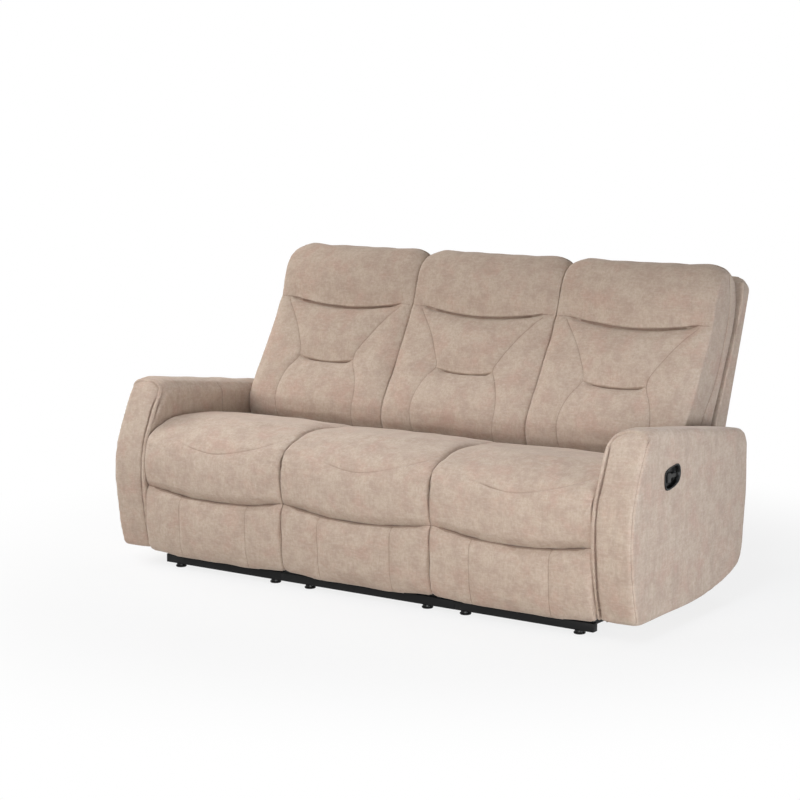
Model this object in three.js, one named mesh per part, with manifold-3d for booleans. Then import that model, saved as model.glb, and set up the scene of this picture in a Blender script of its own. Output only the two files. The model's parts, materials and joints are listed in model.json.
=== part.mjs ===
// A three-seat reclining sofa. The two outer seats recline and open a footrest; the middle one is fixed.
// Millimetres: X runs along the sofa, Y from its front to its back, Z up from the floor.

import * as THREE from "three";
import { mergeVertices } from "three/addons/utils/BufferGeometryUtils.js";
import Module from "manifold-3d";

const wasm = await Module();
wasm.setup();

// Driving dimensions
const seatPitch = 585; // width of one seat and spacing of the three
const seatDepth = 590; // a seat cushion, front to rear
const seatHeight = 515; // floor to the crown of a seat cushion
const backLength = 690; // a back cushion along its slope
const backSlope = THREE.MathUtils.degToRad(25.6); // a back at rest, from upright
const armWidth = 136;
const armHeight = 641;
const panelHeight = 235; // a footrest pad, lower to upper edge
const seated = 0.3; // gap between a piece and what carries it
const beside = 1; // gap between neighbouring upholstery
const turning = 0.5; // gap round a pivot pin
const overrun = 5; // how far a cutter passes the face it cuts
const halfSeat = (seatPitch - beside) / 2;

// Finishes
const finish = (color, roughness, metalness) =>
  new THREE.MeshStandardMaterial({ color, roughness, metalness });
const fabric = () => finish(0xb8a391, 0.95, 0);
const steel = () => finish(0x1c1c1d, 0.5, 0.6);
const timber = () => finish(0xb58f63, 0.8, 0);
const webbing = () => finish(0x2b2723, 0.9, 0);
const plastic = () => finish(0x161617, 0.4, 0);

// Joining and cutting of closed meshes
function toSolid(geometry) {
  const bare = geometry.clone();
  bare.deleteAttribute("normal");
  bare.deleteAttribute("uv");
  const merged = mergeVertices(bare);
  return new wasm.Manifold(
    new wasm.Mesh({
      numProp: 3,
      vertProperties: new Float32Array(merged.getAttribute("position").array),
      triVerts: new Uint32Array(merged.index.array),
    }),
  );
}

function toGeometry(solid) {
  const mesh = solid.getMesh();
  const geometry = new THREE.BufferGeometry();
  geometry.setAttribute("position", new THREE.BufferAttribute(mesh.vertProperties, 3));
  geometry.setIndex(new THREE.BufferAttribute(mesh.triVerts, 1));
  geometry.computeVertexNormals();
  return geometry;
}

const joined = (...pieces) => toGeometry(pieces.map(toSolid).reduce((a, b) => a.add(b)));
const cut = (body, ...cutters) =>
  toGeometry(cutters.map(toSolid).reduce((a, b) => a.subtract(b), toSolid(body)));

// Plain shapes: a block between two values on each axis, a rod along X, a side plate and its mirror
function block([x0, x1], [y0, y1], [z0, z1]) {
  const geometry = new THREE.BoxGeometry(x1 - x0, y1 - y0, z1 - z0);
  return geometry.translate((x0 + x1) / 2, (y0 + y1) / 2, (z0 + z1) / 2);
}

function rod(radius, [x0, x1], at, sides = 12) {
  const geometry = new THREE.CylinderGeometry(radius, radius, Math.abs(x1 - x0), sides);
  return geometry.rotateZ(Math.PI / 2).translate((x0 + x1) / 2, at.x, at.y);
}

const sideways = new THREE.Matrix4().makeBasis(
  new THREE.Vector3(0, 1, 0),
  new THREE.Vector3(0, 0, 1),
  new THREE.Vector3(1, 0, 0),
);

function plate(outline, [x0, x1]) {
  const shape = new THREE.Shape(outline);
  const geometry = new THREE.ExtrudeGeometry(shape, { depth: x1 - x0, bevelEnabled: false, steps: 1 });
  return geometry.applyMatrix4(sideways).translate(x0, 0, 0);
}

function mirrored(geometry) {
  const other = mergeVertices(toGeometry(toSolid(geometry)));
  const index = other.index.array;
  for (let i = 0; i < index.length; i += 3) [index[i], index[i + 1]] = [index[i + 1], index[i]];
  other.scale(-1, 1, 1).computeVertexNormals();
  return other;
}

// A flat bar with round ends between two pivots, seen from the side
function bar(from, to, radius, sides = 6) {
  const lean = Math.atan2(to.y - from.y, to.x - from.x);
  const end = (centre, start) =>
    Array.from({ length: sides + 1 }, (_, i) => start + (Math.PI * i) / sides).map(
      (angle) =>
        new THREE.Vector2(centre.x + radius * Math.cos(angle), centre.y + radius * Math.sin(angle)),
    );
  return [...end(from, lean + Math.PI / 2), ...end(to, lean - Math.PI / 2)];
}

// A padded body: a side outline carried along X, rounded off towards both ends and then sculpted.
// roundOff gives each outline point its rounding for an end; sculpt moves a point of a station.
const endShares = [0, 0.1, 0.45, 1];

function paddedBody({ outline, span: [x0, x1], endLengths, middle, roundOff, sculpt }) {
  const ring = THREE.ShapeUtils.isClockWise(outline) ? [...outline].reverse() : outline;
  const count = ring.length;
  const outward = ring.map((point, i) => {
    const along = ring[(i + 1) % count].clone().sub(ring[(i + count - 1) % count]).normalize();
    return new THREE.Vector2(along.y, -along.x);
  });
  const inner = [x0 + endLengths[0], x1 - endLengths[1]];
  const stations = [
    ...endShares.map((share) => ({ x: x0 + share * endLengths[0], end: 0, share })),
    ...Array.from({ length: middle }, (_, i) => ({
      x: THREE.MathUtils.lerp(inner[0], inner[1], (i + 1) / (middle + 1)),
      end: 0,
      share: 1,
    })),
    ...[...endShares].reverse().map((share) => ({ x: x1 - share * endLengths[1], end: 1, share })),
  ];
  const rings = stations.map(({ x, end, share }) => {
    const drawnIn = 1 - Math.sqrt(1 - (1 - share) ** 2);
    return ring.map((point, i) => {
      const moved = point.clone().addScaledVector(outward[i], -drawnIn * roundOff(outward[i], end));
      return sculpt ? sculpt(moved, outward[i], x) : moved;
    });
  });
  const positions = rings.flatMap((points, k) => points.flatMap((p) => [stations[k].x, p.x, p.y]));
  const index = [];
  for (let k = 0; k + 1 < rings.length; k += 1) {
    for (let i = 0; i < count; i += 1) {
      const a = k * count + i;
      const b = k * count + ((i + 1) % count);
      index.push(a, b, a + count, b, b + count, a + count);
    }
  }
  const last = (rings.length - 1) * count;
  for (const [a, b, c] of THREE.ShapeUtils.triangulateShape([...ring], [])) {
    index.push(c, b, a, last + a, last + b, last + c);
  }
  const geometry = new THREE.BufferGeometry();
  geometry.setAttribute("position", new THREE.Float32BufferAttribute(positions, 3));
  geometry.setIndex(index);
  geometry.computeVertexNormals();
  return geometry;
}

// An outline from shares of a piece's depth and height, set out from its lower front corner
const placed = (shares, corner, depth, height) =>
  shares.map(([y, z]) => new THREE.Vector2(corner.x + y * depth, corner.y + z * height));
const smooth = (points, divisions) => new THREE.SplineCurve(points).getSpacedPoints(divisions);

// The roundings of a cushion's ends: at its face, at its top, and slight at its rear and underside
const cushionRounding = (face, top, slight) => (outward) =>
  slight +
  (face - slight) * Math.max(-outward.x, 0) ** 2 +
  (top - slight) * Math.max(outward.y, 0) ** 2;

// A sewn channel draws the surface in along a line, deepest on it
const drawnBy = (distance, width, depth) => depth * Math.exp(-((distance / width) ** 2));

// The sofa and its parts list
const sofa = new THREE.Group();
sofa.name = "reclining_sofa";

function add(group, name, geometry, material) {
  const mesh = new THREE.Mesh(geometry, material);
  mesh.name = name;
  group.add(mesh);
}

// Seat cushion: foam block with a front lip that hangs over the footrest
const seatFront = 2;
const lipHeight = 297; // lower edge of the lip at its ends
const lipDip = 31; // how far the edge hangs lower at its middle
const lipThickness = 60;
const seatUnderside = 372; // the dip of the lip dies out up to here
const seatEnd = 24; // rounding of the ends, along the seat
const seatEndFace = 12;
const seatEndTop = 30;
const seatEndRear = 4;
const seatCrown = 7; // rise of the middle over the ends
const seatSeamLow = 428; // the sewn line across the front, at its middle
const seatSeamRise = 64; // and how much higher it ends
const seatSeamHalf = 268;
const seatSeamPowerShare = 1.6;
const seatSeamDepth = 5;
const seatSeamWidth = 14;
const lipFaceShares = [[0.02, 0], [0.006, 0.56]]; // of the depth and of the height of the lip
const seatTopShares = [ // of the depth and of the height from the underside to the crown
  [0, 0.147], [0.016, 0.504], [0.07, 0.783], [0.16, 0.938],
  [0.3, 1], [0.5, 0.946], [0.7, 0.798], [0.88, 0.643], [0.97, 0.519],
];
const seatRearShare = 0.58; // rear edge, from the underside up to the last of those points
const facingShare = 0.2; // of a normal that still counts as the front face

function seatCushion() {
  const lip = new THREE.Vector2(seatFront, lipHeight);
  const base = new THREE.Vector2(seatFront, seatUnderside);
  const points = [
    ...placed(lipFaceShares, lip, seatDepth, seatUnderside - lipHeight),
    ...placed(seatTopShares, base, seatDepth, seatHeight - seatCrown - seatUnderside),
  ];
  const rear = THREE.MathUtils.lerp(seatUnderside, points.at(-1).y, seatRearShare);
  const top = smooth([...points, new THREE.Vector2(seatFront + seatDepth, rear)], 22);
  const chamfer = lipThickness / 5;
  const inner = seatFront + lipThickness;
  const outline = [
    ...top,
    new THREE.Vector2(seatFront + seatDepth, seatUnderside + chamfer),
    new THREE.Vector2(seatFront + seatDepth - chamfer, seatUnderside),
    new THREE.Vector2(inner, seatUnderside),
    new THREE.Vector2(inner, lipHeight + chamfer),
    new THREE.Vector2(inner - chamfer, lipHeight),
  ];
  const sculpt = (point, outward, x) => {
    const across = Math.abs(x) / halfSeat;
    const fade = THREE.MathUtils.clamp((seatUnderside - point.y) / (seatUnderside - lipHeight), 0, 1);
    const isFront = point.x < inner + seated;
    const dip = isFront ? lipDip * (1 - across ** 2) * fade : 0;
    const crown = seatCrown * (1 - across ** 2) * Math.max(outward.y, 0);
    const seam = seatSeamLow + seatSeamRise * (Math.abs(x) / seatSeamHalf) ** seatSeamPowerShare;
    const onFace = -outward.x > facingShare ? 1 : 0;
    const groove = onFace * drawnBy(point.y - seam, seatSeamWidth, seatSeamDepth);
    return new THREE.Vector2(point.x - groove * outward.x, point.y - dip + crown - groove * outward.y);
  };
  return paddedBody({
    outline,
    span: [-halfSeat, halfSeat],
    endLengths: [seatEnd, seatEnd],
    middle: 5,
    roundOff: cushionRounding(seatEndFace, seatEndTop, seatEndRear),
    sculpt,
  });
}

// Seat webbing: elastic straps both ways over the seat frame
const webbingThickness = 3;
const strapWidth = 50;
const lengthwiseStraps = 4;
const crosswiseStraps = 2;
const webbingTop = seatUnderside - seated;
const frameTop = webbingTop - webbingThickness - seated;

// Seat frame: timber side rails joined by cross rails, with steel hanger plates for the linkage
const railThickness = 28;
const railOverhang = 26; // seat width outside a side rail
const railLap = 3; // cross rails let into the side rails
const railInner = halfSeat - railOverhang - railThickness;
const railOuter = railInner + railThickness;
const railBottom = 306.6;
const crossRailHeight = 32;
const crossRailWidth = 26;
const frameFront = seatFront + lipThickness + seated;
const frameRearInset = 3;
const frameRear = seatFront + seatDepth - frameRearInset;
const crossRailGaps = 3;
const hangerThickness = 6;
const hangerMargin = 20; // hanger plate round its outermost pivots

// Footrest linkage, seen from the side: x is the distance from the front, y the height.
// The drive link swings from restAngle through a right angle and carries the pad out and up.
const driveLength = 200;
const driveHeight = 272; // height of the drive pivot
const restLean = THREE.MathUtils.degToRad(10); // drive link behind upright, footrest closed
const padPivotSetback = 95; // pad pivot behind the front
const carrierReach = new THREE.Vector2(-55, 88); // carrier pivot to pad pivot
const controlOffset = new THREE.Vector2(56.4, -20.5); // drive pivot to control pivot
const carrierTubeShare = 0.4; // place of its cross tube between those pivots
const panelLinkStep = 80; // carrier pivot to panel link pivot, along the drive link
const linkRadius = 9;
const driveRadius = 12;
const linkThickness = 5;
const linkSpacing = 1; // between neighbouring layers of links
const pinRadius = 5;
const tubeRadius = 8;
const carrierPivot = new THREE.Vector2(
  padPivotSetback - carrierReach.x,
  driveHeight - driveLength * Math.cos(restLean),
);
const padPivot = carrierPivot.clone().add(carrierReach);
const drivePivot = new THREE.Vector2(carrierPivot.x - driveLength * Math.sin(restLean), driveHeight);
const driveStep = drivePivot.clone().sub(carrierPivot).normalize();
const controlPivot = drivePivot.clone().add(controlOffset);
const controlEnd = carrierPivot.clone().add(controlOffset);
const panelLinkPivot = carrierPivot.clone().addScaledVector(driveStep, panelLinkStep);
const panelPivot = padPivot.clone().addScaledVector(driveStep, panelLinkStep);
const hangerBottom = controlPivot.y - hangerMargin;
const hangerSpan = [railInner - hangerThickness, railInner];
const onSide = (side, [inner, outer]) => (side > 0 ? [inner, outer] : [-outer, -inner]);
const layer = (number) => {
  const outer = hangerSpan[0] - linkSpacing - (number - 1) * (linkThickness + linkSpacing);
  return [outer - linkThickness, outer];
};

// A pin from one layer of links through the next, and the hole it turns in
const pin = (at, x0, x1) => rod(pinRadius, [x0, x1], at, 10);
const pinHole = (at, span) =>
  rod(pinRadius + turning, [span[0] - overrun, span[1] + overrun], at);

// Back unit, in its own frame: x rearwards from the cushion's face, y up its slope
const backGap = 6; // behind the seat cushion
const backFootHeight = 455; // the cushion's lower front corner
const backFoot = new THREE.Vector2(seatFront + seatDepth + backGap, backFootHeight);
const backThickness = 135;
const backFrameThickness = 22;
const backFrameFront = backThickness + seated;
const backFrameRear = backFrameFront + backFrameThickness;
const hingeDrop = 40; // hinge below the cushion, down its slope
const backPivot = new THREE.Vector2(backFrameFront + backFrameThickness / 2, -hingeDrop);
const hingePinRadius = 6;
const uprightWidth = 30;
const uprightFoot = 20; // frame below the hinge
const uprightOuter = railInner - 2 * linkSpacing;
const rungWidth = 40;
const rungCount = 5;
const rungTop = 34; // cushion above the top rung

// The seat frame's rails run back to carry the hinge, whose place comes from the back unit
const toSofa = (point) =>
  new THREE.Vector2(
    backFoot.x + point.x * Math.cos(backSlope) + point.y * Math.sin(backSlope),
    backFoot.y - point.x * Math.sin(backSlope) + point.y * Math.cos(backSlope),
  );
const backHinge = toSofa(backPivot);
const railPastHinge = 22;

function seatFrame(withHangers) {
  const railEnd = backHinge.x + railPastHinge;
  const pieces = [];
  for (const side of [-1, 1]) {
    const span = onSide(side, [railInner, railOuter]);
    const stub = [side * (railInner + overrun), side * (uprightOuter - uprightWidth)];
    pieces.push(block(span, [frameFront, railEnd], [railBottom, frameTop]));
    pieces.push(rod(hingePinRadius, stub, backHinge));
  }
  const pitch = (frameRear - frameFront - crossRailWidth) / crossRailGaps;
  for (let i = 0; i <= crossRailGaps; i += 1) {
    const y = frameFront + i * pitch;
    const across = [-railInner - railLap, railInner + railLap];
    pieces.push(block(across, [y, y + crossRailWidth], [frameTop - crossRailHeight, frameTop]));
  }
  if (!withHangers) return joined(...pieces);
  for (const side of [-1, 1]) {
    const span = onSide(side, hangerSpan);
    const y = [drivePivot.x - hangerMargin, controlPivot.x + hangerMargin];
    const top = railBottom + crossRailHeight;
    const hanger = block(span, y, [hangerBottom, top]);
    const bearing = rod(tubeRadius + turning, [span[0] - overrun, span[1] + overrun], drivePivot);
    pieces.push(cut(hanger, bearing));
    pieces.push(block(onSide(side, [hangerSpan[0], railInner + railLap]), y, [railBottom, top]));
    pieces.push(pin(controlPivot, side * (hangerSpan[0] + overrun / 2), side * layer(3)[0]));
  }
  return joined(...pieces);
}

function seatWebbing() {
  const z = [webbingTop - webbingThickness, webbingTop];
  const strips = [];
  const acrossPitch = (2 * railInner - strapWidth) / (lengthwiseStraps - 1);
  for (let i = 0; i < lengthwiseStraps; i += 1) {
    const x = -railInner + i * acrossPitch;
    strips.push(block([x, x + strapWidth], [frameFront, frameRear], z));
  }
  const alongPitch = (frameRear - frameFront - strapWidth) / (crosswiseStraps - 1);
  for (let i = 0; i < crosswiseStraps; i += 1) {
    const y = frameFront + i * alongPitch;
    strips.push(block([-railOuter, railOuter], [y, y + strapWidth], z));
  }
  return joined(...strips);
}

// Back cushion: a head roll above a sewn line, and a lumbar pad drawn in along a short line
const backFaceForward = 16; // its face stands ahead of the line up from its foot
const backEnd = 50; // rounding of the ends, across the back
const backEndFace = 14;
const backEndTop = 50;
const backEndRear = 6;
const headSeam = 434; // height up the slope at its middle
const headSeamRise = 28;
const headSeamHalf = 240;
const headSeamDepth = 14;
const lowSeam = 219;
const lowSeamRise = 16;
const lowSeamHalf = 117;
const lowSeamDepth = 12;
const backSeamWidth = 20;
const backCrown = 8;
const backFaceShares = [
  [0.09, 0], [-0.19, 0.07], [-0.24, 0.17], [-0.17, 0.36], [-0.1, 0.5], [-0.08, 0.64], [-0.13, 0.78],
  [-0.14, 0.87], [-0.02, 0.95], [0.22, 1], [0.5, 0.985], [0.72, 0.93], [0.91, 0.83], [1, 0.68],
];

function backCushion() {
  const foot = new THREE.Vector2(-backFaceForward, 0);
  const face = smooth(placed(backFaceShares, foot, backThickness + backFaceForward, backLength), 25);
  const step = backThickness / 8; // chamfer of the lower rear edge
  const outline = [
    ...face,
    new THREE.Vector2(backThickness, step),
    new THREE.Vector2(backThickness - step, 0),
    new THREE.Vector2(backThickness / 2, -step / 2),
  ];
  const sculpt = (point, outward, x) => {
    const across = Math.abs(x) / halfSeat;
    const facing = THREE.MathUtils.clamp(-outward.x, 0, 1);
    const head = headSeam + headSeamRise * (x / headSeamHalf) ** 2;
    const low = lowSeam + lowSeamRise * (x / lowSeamHalf) ** 2;
    const headEnds = THREE.MathUtils.clamp((halfSeat - Math.abs(x)) / (halfSeat - headSeamHalf), 0, 1);
    const lowEnds = THREE.MathUtils.clamp(2 - Math.abs(x) / lowSeamHalf, 0, 1);
    const groove =
      facing *
      (headEnds * drawnBy(point.y - head, backSeamWidth, headSeamDepth) +
        lowEnds * drawnBy(point.y - low, backSeamWidth, lowSeamDepth));
    const crown = backCrown * (1 - across ** 2) * facing;
    const bulge = crown - groove;
    return new THREE.Vector2(point.x + bulge * outward.x, point.y + bulge * outward.y);
  };
  return paddedBody({
    outline,
    span: [-halfSeat, halfSeat],
    endLengths: [backEnd, backEnd],
    middle: 5,
    roundOff: cushionRounding(backEndFace, backEndTop, backEndRear),
    sculpt,
  });
}

// Back frame: two steel uprights with rungs, hinged at its foot
function backFrame() {
  const depth = [backFrameFront, backFrameRear];
  const foot = backPivot.y - uprightFoot;
  const top = backLength - rungTop;
  const pieces = [];
  for (const side of [-1, 1]) {
    const span = onSide(side, [uprightOuter - uprightWidth, uprightOuter]);
    const upright = block(span, depth, [foot, top]);
    const hole = rod(hingePinRadius + turning, [span[0] - overrun, span[1] + overrun], backPivot);
    pieces.push(cut(upright, hole));
  }
  const pitch = (top - rungWidth) / (rungCount - 1);
  for (let i = 0; i < rungCount; i += 1) {
    const across = [-uprightOuter + uprightWidth / 2, uprightOuter - uprightWidth / 2];
    pieces.push(block(across, depth, [i * pitch, i * pitch + rungWidth]));
  }
  return joined(...pieces);
}

// Back shell: the padded outer back, a thin skirt below the seat and a tray above that holds the frame
const shellGap = 8; // dark gap behind the cushion
const shellFront = backThickness + shellGap;
const shellFoot = -227;
const shellNose = 38; // how far its top leans forward over the cushion's rounded shoulder
const skirtThickness = 38;
const skirtTop = -60;
const trayFoot = 20;
const shellDepth = 95; // behind the frame, at the cushion's foot
const shellBase = backFrameRear + shellDepth;
const shellLeanShare = -0.115; // rear face drawn in per length up the slope
const shellEnd = 30; // rounding of the ends, across the back
const shellEndRear = 9;
const shellEndTop = 30;
const shellEdge = 22;

function backShell() {
  const rear = (height) => shellBase + shellLeanShare * height;
  const shoulder = backLength - shellEdge * 2;
  const outline = [
    [rear(shellFoot) - skirtThickness, shellFoot],
    [rear(shellFoot) - shellEdge / 2, shellFoot],
    [rear(shellFoot), shellFoot + shellEdge / 2],
    [rear(shoulder), shoulder],
    [rear(shoulder) - shellEdge / 4, backLength - shellEdge],
    [rear(shoulder) - (2 * shellEdge) / 3, backLength - shellEdge / 4],
    [shellFront - shellNose + shellEdge, backLength],
    [shellFront - shellNose, backLength - shellEdge],
    [shellFront - shellNose / 3, backLength - 2 * shellNose],
    [shellFront, backLength - 4 * shellNose],
    [shellFront, trayFoot],
    [rear(skirtTop) - skirtThickness, skirtTop],
  ].map(([x, y]) => new THREE.Vector2(x, y));
  const body = paddedBody({
    outline,
    span: [-halfSeat, halfSeat],
    endLengths: [shellEnd, shellEnd],
    middle: 1,
    roundOff: (outward) =>
      shellEndRear * Math.max(outward.x, 0) + shellEndTop * Math.max(outward.y, 0) ** 2,
  });
  const tray = block(
    [-uprightOuter - seated, uprightOuter + seated],
    [shellFront - shellNose - overrun, backFrameRear + seated],
    [skirtTop, backLength - rungTop + seated],
  );
  return cut(body, tray);
}

// Footrest pad and board: the front panel of a seat, swung out by the linkage
const padFront = 8;
const padThickness = 44;
const padClear = 10; // below the seat's lip
const padBottom = lipHeight - padClear - panelHeight;
const padShoulderShare = 0.84; // its rear face up to here
const padEnd = 16;
const padEndFace = 10;
const padCornerLift = 14; // lower edge drawn up at the ends
const padRear = padFront + padThickness - seated;
const boardThickness = 12;
const boardFront = padFront + padThickness;
const boardRear = boardFront + boardThickness;
const boardInset = 8;
const boardCover = 30; // pad past the board's upper edge and ends
const boardTopInset = boardCover + lipDip;
const boardHalf = halfSeat - boardCover;
const padShares = [
  [0.62, 0], [0.3, 0.08], [0.09, 0.3], [0, 0.62], [0.02, 0.86], [0.14, 0.97], [0.45, 1], [0.85, 0.95],
];

function footrestPad() {
  const corner = new THREE.Vector2(padFront, padBottom);
  const face = smooth(placed(padShares, corner, padRear - padFront, panelHeight), 14);
  const shoulder = padShoulderShare * panelHeight;
  const outline = [
    ...face,
    new THREE.Vector2(padRear, padBottom + shoulder),
    new THREE.Vector2(padRear, padBottom + boardInset),
    new THREE.Vector2(padRear - boardInset, padBottom),
  ];
  const sculpt = (point, outward, x) => {
    const across = Math.abs(x) / halfSeat;
    const share = THREE.MathUtils.clamp((point.y - padBottom) / panelHeight, 0, 1);
    const lift = padCornerLift * across ** 4 * (1 - share) ** 2;
    return new THREE.Vector2(point.x, point.y - lipDip * (1 - across ** 2) * share ** 2 + lift);
  };
  return paddedBody({
    outline,
    span: [-halfSeat, halfSeat],
    endLengths: [padEnd, padEnd],
    middle: 3,
    roundOff: cushionRounding(padEndFace, padEnd, 0),
    sculpt,
  });
}

const boardBlock = () =>
  block(
    [-boardHalf, boardHalf],
    [boardFront, boardRear],
    [padBottom + boardInset, padBottom + panelHeight - boardTopInset],
  );

function footrestBoard() {
  const pieces = [boardBlock()];
  const lugs = bar(padPivot, panelPivot, linkRadius);
  for (const side of [-1, 1]) {
    const span = onSide(side, layer(3));
    const web = block(
      span,
      [boardRear - boardThickness / 2, padPivot.x],
      [padPivot.y, panelPivot.y],
    );
    const bracket = joined(plate(lugs, span), web);
    pieces.push(cut(bracket, pinHole(padPivot, span), pinHole(panelPivot, span)));
  }
  return joined(...pieces);
}

// Front board of the fixed seat, held under its seat frame by two battens with feet behind the board
const battenFoot = 120;

function fixedFrontBoard() {
  const pieces = [boardBlock()];
  for (const side of [-1, 1]) {
    const middle = (side * boardHalf) / 2;
    const x = [middle - crossRailWidth / 2, middle + crossRailWidth / 2];
    const y = [frameFront, frameFront + crossRailWidth];
    const foot = padBottom + boardInset;
    pieces.push(block(x, y, [foot, frameTop - crossRailHeight - seated]));
    pieces.push(block(x, [boardRear - boardThickness / 2, y[1]], [foot, foot + battenFoot]));
  }
  return joined(...pieces);
}

// Drive links on their torque tube, with pins for the carrier and the panel links
function driveFrame() {
  const tubeEnd = hangerSpan[1] - linkSpacing;
  const pieces = [rod(tubeRadius, [-tubeEnd, tubeEnd], drivePivot)];
  for (const side of [-1, 1]) {
    const span = onSide(side, layer(1));
    const reach = side * (layer(2)[0] + seated);
    const root = side * (layer(1)[0] + linkThickness / 2);
    pieces.push(plate(bar(carrierPivot, drivePivot, driveRadius), span));
    pieces.push(pin(carrierPivot, root, reach), pin(panelLinkPivot, root, reach));
  }
  return joined(...pieces);
}

// Carrier bars joined by a cross tube, with pins for the control links and the footrest
function carrierFrame() {
  const tubeAt = carrierPivot.clone().lerp(padPivot, carrierTubeShare);
  const face = layer(2)[0] + linkThickness / 2;
  const pieces = [];
  for (const side of [-1, 1]) {
    const span = onSide(side, layer(2));
    const reach = side * (layer(3)[0] + seated);
    const outer = plate(bar(carrierPivot, padPivot, linkRadius), span);
    const rear = plate(bar(controlEnd, carrierPivot, linkRadius), span);
    pieces.push(cut(joined(outer, rear), pinHole(carrierPivot, span)));
    pieces.push(pin(controlEnd, side * face, reach), pin(padPivot, side * face, reach));
  }
  return joined(...pieces, rod(tubeRadius, [-face, face], tubeAt));
}

// Control links from the hanger to the carrier, and panel links from the drive links to the footrest
function controlLink(side) {
  const span = onSide(side, layer(3));
  const body = plate(bar(controlEnd, controlPivot, linkRadius), span);
  return cut(body, pinHole(controlEnd, span), pinHole(controlPivot, span));
}

function panelLink(side) {
  const span = onSide(side, layer(2));
  const root = side * (layer(2)[0] + linkThickness / 2);
  const link = plate(bar(panelLinkPivot, panelPivot, linkRadius), span);
  const body = cut(link, pinHole(panelLinkPivot, span));
  return joined(body, pin(panelPivot, root, side * (layer(3)[0] + seated)));
}

// Arm upholstery: padded, with a bowed front, a top that falls to the rear and a hollow for its frame
const armInner = 1.5 * seatPitch + beside / 2;
const armOuter = armInner + armWidth;
const armPastSeat = 189; // arm behind the rear of a seat cushion
const armDepth = seatDepth + armPastSeat;
const armClear = 58; // floor to the underside
const armTopInner = 58; // rounding of the top towards the seat
const armTopOuter = 20;
const armEdge = 9;
const armPadInner = 24; // padding inside and outside the hollow
const armPadOuter = 30;
const hollowFront = 110;
const armRearPad = 169; // padding behind and above the hollow
const armTopPad = 141;
const hollowRear = armDepth - armRearPad;
const hollowTop = armHeight - armTopPad;
const armShares = [
  [0.055, 0.017], [0.019, 0.22], [0, 0.42], [0.01, 0.6], [0.047, 0.748], [0.1, 0.89], [0.14, 0.972],
  [0.2, 1], [0.3, 0.983], [0.485, 0.94], [0.68, 0.909], [0.87, 0.882], [0.965, 0.862], [0.995, 0.81],
  [1, 0.57], [0.99, 0.346], [0.972, 0.185], [0.94, 0.115], [0.846, 0.065], [0.706, 0.024],
  [0.543, 0.003], [0.205, 0], [0.08, 0],
];

// Handle: a plastic cup let into the outer side of an arm, with a finger lever inside
const handleCentre = new THREE.Vector2(253, 484);
const handleWidth = 102;
const handleHeight = 76;
const handleShares = [
  [0.36, 0.5], [0.48, 0.42], [0.5, 0.1], [0.3, -0.2], [-0.2, -0.48], [-0.33, -0.5], [-0.44, -0.38],
  [-0.5, -0.05], [-0.42, 0.18], [-0.1, 0.36], [0.2, 0.48],
];
const flangeThickness = 3;
const cupDepth = 20;
const cupShare = 0.9; // cup outside, as a share of the flange
const cupWall = 3;
const leverThickness = 6;
const leverRest = 6; // space behind the lever
const leverPivotShares = [[0.27, 0.1]];
const leverGripShares = [[-0.2, -0.13]];
const [leverPivot] = placed(leverPivotShares, handleCentre, handleWidth, handleHeight);
const [leverGrip] = placed(leverGripShares, handleCentre, handleWidth, handleHeight);
const leverRadius = 6;
const gripRadius = 7;
const gripHalf = 8; // half the grip's straight height

const handleOutline = (scale) =>
  placed(handleShares, handleCentre, handleWidth * scale, handleHeight * scale);

function armUpholstery() {
  const front = new THREE.Vector2(0, armClear);
  const points = placed(armShares, front, armDepth, armHeight - armClear);
  const loop = new THREE.CatmullRomCurve3(
    points.map((p) => new THREE.Vector3(p.x, p.y, 0)),
    true,
    "centripetal",
  );
  const outline = loop.getPoints(Math.round(1.5 * points.length)).slice(0, -1);
  const body = paddedBody({
    outline: outline.map((p) => new THREE.Vector2(p.x, p.y)),
    span: [armInner, armOuter],
    endLengths: [armTopInner, armTopOuter],
    middle: 0,
    roundOff: (outward, end) => {
      const up = THREE.MathUtils.clamp(outward.y * 2 - 0.6, 0, 1);
      return armEdge + up * ((end ? armTopOuter : armTopInner) - armEdge);
    },
  });
  const hollow = block(
    [armInner + armPadInner, armOuter - armPadOuter],
    [hollowFront, hollowRear],
    [armClear - overrun, hollowTop],
  );
  const grown = cupShare + (2 * seated) / handleHeight;
  const recess = plate(handleOutline(grown), [armOuter - cupDepth - seated, armOuter + overrun]);
  return cut(body, hollow, recess);
}

// Arm frame: timber posts and rails on a plywood web, standing in the hollow
const armFrameFoot = 72;
const postWidth = 40;
const webThickness = 12;

function armFrame() {
  const x = [armInner + armPadInner + seated, armOuter - armPadOuter - seated];
  const y = [hollowFront + seated, hollowRear - seated];
  const z = [armFrameFoot, hollowTop - seated];
  const middle = (x[0] + x[1]) / 2;
  return joined(
    block([middle - webThickness / 2, middle + webThickness / 2], y, z),
    block(x, [y[0], y[0] + postWidth], z),
    block(x, [y[1] - postWidth, y[1]], z),
    block(x, y, [z[0], z[0] + postWidth]),
    block(x, y, [z[1] - postWidth, z[1]]),
  );
}

function handleBezel() {
  const back = armOuter - cupDepth;
  const flange = [armOuter + seated, armOuter + seated + flangeThickness];
  const floor = back + cupWall;
  const inside = cupShare - (2 * cupWall) / handleHeight;
  const shell = joined(
    plate(handleOutline(1), flange),
    plate(handleOutline(cupShare), [back, flange[0] + flangeThickness / 2]),
  );
  const hollowed = cut(shell, plate(handleOutline(inside), [floor, flange[1] + overrun]));
  const reach = [floor - cupWall / 2, floor + leverRest + leverThickness];
  const post = rod(pinRadius - turning, reach, leverPivot);
  return joined(hollowed, post);
}

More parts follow.
